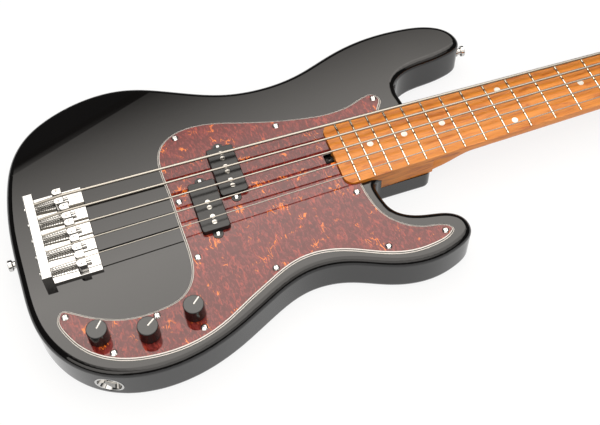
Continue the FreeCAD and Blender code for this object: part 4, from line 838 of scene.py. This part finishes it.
# Softboxes: name, level's setting, size, place, turn, brightness along its own Y and across its own X
SOFTBOXES = (
    ("overhead_softbox", "panel_level", (2.6, 2.9), (0.35, 0.45, 1.745), (0, 0, math.radians(7)),
     ((0.02, 0.3), (0.10, 0.60), (0.46, 0.60), (0.54, 0.84), (0.62, 0.88), (0.70, 1.0),
      (0.80, 0.60), (0.845, 0.36), (0.87, 0.21), (0.90, 0.06), (0.93, 0.01)),
     ((0.05, 0.02), (0.27, 1.0), (0.82, 0.97), (1.0, 0.5))),
    ("front_softbox", "front_level", (4.0, 1.0), (0.1, -1.43, 1.36), (math.radians(48), 0, 0),
     ((0.0, 0.7), (0.5, 1.0)),
     ((0.0, 0.7), (0.3, 1.0), (0.6, 1.0), (1.0, 0.3))),
    ("left_softbox", "left_level", (1.5, 1.3), (-1.15, -0.9, 1.15),
     Vector((1.15, 0.9, -1.15)).to_track_quat("-Z", "Y").to_euler(),
     ((0.0, 0.6), (0.4, 1.0)),
     ((0.0, 0.8), (0.4, 1.0))),
)
FLOOR_SIZE = 30.0
FLOOR_MIDDLE_X = 0.3
FLOOR_GAP = 0.2 * MM
FLOOR_GLOW = 0.85
SENSOR_WIDTH = 36.0
NEAR_CLIP = 0.01
FAR_CLIP = 100.0


class BASS_OT_stage(bpy.types.Operator):
    """Sets the floor, the softboxes, the room and the camera"""
    bl_idname = "bass.stage"
    bl_label = "Photo stage"

    def execute(self, context):
        stage = context.scene.bass_stage
        self.floor()
        self.softboxes(stage)
        self.room(context, stage)
        self.camera(context, stage)
        context.scene.view_settings.view_transform = "Standard"
        return {"FINISHED"}

    def plane(self, name, size_x, size_y, material):
        """A flat sheet of the stage."""
        bm = bmesh.new()
        bmesh.ops.create_grid(bm, x_segments=1, y_segments=1, size=0.5)
        bmesh.ops.scale(bm, vec=(size_x, size_y, 1), verts=bm.verts)
        mesh = mesh_from(bm, name)
        mesh.materials.append(material)
        thing = linked(name, mesh)
        return thing

    def floor(self):
        """White paper sweep: mostly plain white to the camera and in gloss, with a soft trace of shadow."""
        material, tree, place = new_finish("white_paper")
        fibre = add(tree, "ShaderNodeTexNoise", {"Vector": place, "Scale": per_mm(40), "Detail": 2.0})
        tone = add(tree, "ShaderNodeValToRGB", {"Fac": fibre.outputs["Fac"]},
                   stops=[(0.3, grey(0.88)), (0.7, grey(0.9))])
        matte = add(tree, "ShaderNodeBsdfDiffuse", {"Color": tone.outputs["Color"]})
        path = add(tree, "ShaderNodeLightPath")
        seen = add(tree, "ShaderNodeMath", {0: path.outputs["Is Camera Ray"],
                                            1: path.outputs["Is Glossy Ray"]},
                   operation="MAXIMUM")
        seen = add(tree, "ShaderNodeMath", {0: seen.outputs["Value"],
                                            1: path.outputs["Is Transmission Ray"]},
                   operation="MAXIMUM")
        share = add(tree, "ShaderNodeMath", {0: seen.outputs["Value"], 1: FLOOR_GLOW}, operation="MULTIPLY")
        white = add(tree, "ShaderNodeEmission", {"Color": grey(1.0), "Strength": 1.0})
        both = add(tree, "ShaderNodeMixShader", {0: share.outputs["Value"], 1: matte.outputs["BSDF"],
                                                 2: white.outputs["Emission"]})
        add(tree, "ShaderNodeOutputMaterial", {"Surface": both.outputs["Shader"]})
        floor = self.plane("paper_floor", FLOOR_SIZE, FLOOR_SIZE, material)
        floor.location = (FLOOR_MIDDLE_X, 0.0, CAD_BOX[0].z - FLOOR_GAP)

    def diffuser(self, name, size, level, along, across):
        """A glowing sheet whose brightness follows stops along its own Y and across its own X."""
        material, tree, place = new_finish(name)
        place = add(tree, "ShaderNodeSeparateXYZ", {"Vector": place})
        shares = []
        for axis, length, stops in (("X", size[0], across), ("Y", size[1], along)):
            run = add(tree, "ShaderNodeMapRange", {"Value": place.outputs[axis], "From Min": -length / 2,
                                                   "From Max": length / 2})
            shares.append(add(tree, "ShaderNodeValToRGB", {"Fac": run.outputs["Result"]},
                              stops=[(share, grey(value)) for share, value in stops]).outputs["Color"])
        both = add(tree, "ShaderNodeMath", {0: shares[0], 1: shares[1]}, operation="MULTIPLY")
        both = add(tree, "ShaderNodeMath", {0: both.outputs["Value"], 1: level}, operation="MULTIPLY")
        glow = add(tree, "ShaderNodeEmission", {"Color": WARM_LIGHT, "Strength": both.outputs["Value"]})
        add(tree, "ShaderNodeOutputMaterial", {"Surface": glow.outputs["Emission"]})
        sheet = self.plane(name, *size, material)
        sheet.visible_camera = False
        return sheet

    def softboxes(self, stage):
        """Soft light: overhead, brightest where the face mirrors it, behind the camera, beyond the bridge."""
        for name, level, size, place, turn, along, across in SOFTBOXES:
            sheet = self.diffuser(name, size, getattr(stage, level), along, across)
            sheet.location = place
            sheet.rotation_euler = turn

    def room(self, context, stage):
        """A dim, even room behind the softboxes."""
        world = bpy.data.worlds.new("dim_room")
        world.use_nodes = True
        tree = world.node_tree
        tree.nodes.clear()
        air = add(tree, "ShaderNodeBackground", {"Color": grey(1.0), "Strength": stage.room_level})
        add(tree, "ShaderNodeOutputWorld", {"Surface": air.outputs["Background"]})
        context.scene.world = world

    def camera(self, context, stage):
        """The camera, turned by its azimuth and elevation, then rolled about its view."""
        a, e = stage.azimuth, stage.elevation
        back = Vector((math.sin(a) * math.cos(e), -math.cos(a) * math.cos(e), math.sin(e)))
        right = Vector((math.cos(a), math.sin(a), 0))
        up = back.cross(right)
        turned = Matrix.Rotation(stage.roll, 3, back)
        right, up = turned @ right, turned @ up
        data = bpy.data.cameras.new("photo_camera")
        data.sensor_width = SENSOR_WIDTH
        data.lens = stage.lens
        data.clip_start, data.clip_end = NEAR_CLIP, FAR_CLIP
        camera = linked("photo_camera", data)
        camera.matrix_world = Matrix.Translation(stage.eye) @ Matrix((right, up, back)).transposed().to_4x4()
        context.scene.camera = camera


class BASS_PT_panel(bpy.types.Panel):
    """Lists the instrument's settings and the steps that dress it"""
    bl_idname = "BASS_PT_panel"
    bl_label = "Electric bass guitar"
    bl_space_type = "VIEW_3D"
    bl_region_type = "UI"
    bl_category = "Bass"

    def draw(self, context):
        for operator in OPERATORS:
            self.layout.operator(operator.bl_idname)
        for name, group in SETTINGS.items():
            box = self.layout.box()
            box.label(text=group.__doc__)
            for key in group.__annotations__:
                box.prop(getattr(context.scene, name), key)


OPERATORS = (BASS_OT_finishes, BASS_OT_strings, BASS_OT_springs, BASS_OT_knob_lines, BASS_OT_stage)
CLASSES = (*SETTINGS.values(), *OPERATORS, BASS_PT_panel)


def register():
    for cls in CLASSES:
        bpy.utils.register_class(cls)
    for name, group in SETTINGS.items():
        setattr(bpy.types.Scene, name, PointerProperty(type=group))


def unregister():
    for name in SETTINGS:
        delattr(bpy.types.Scene, name)
    for cls in reversed(CLASSES):
        bpy.utils.unregister_class(cls)


def main():
    register()
    bpy.ops.bass.finishes()
    bpy.ops.bass.strings()
    bpy.ops.bass.springs()
    bpy.ops.bass.knob_lines()
    bpy.ops.bass.stage()
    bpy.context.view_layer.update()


if __name__ == "__main__":
    main()
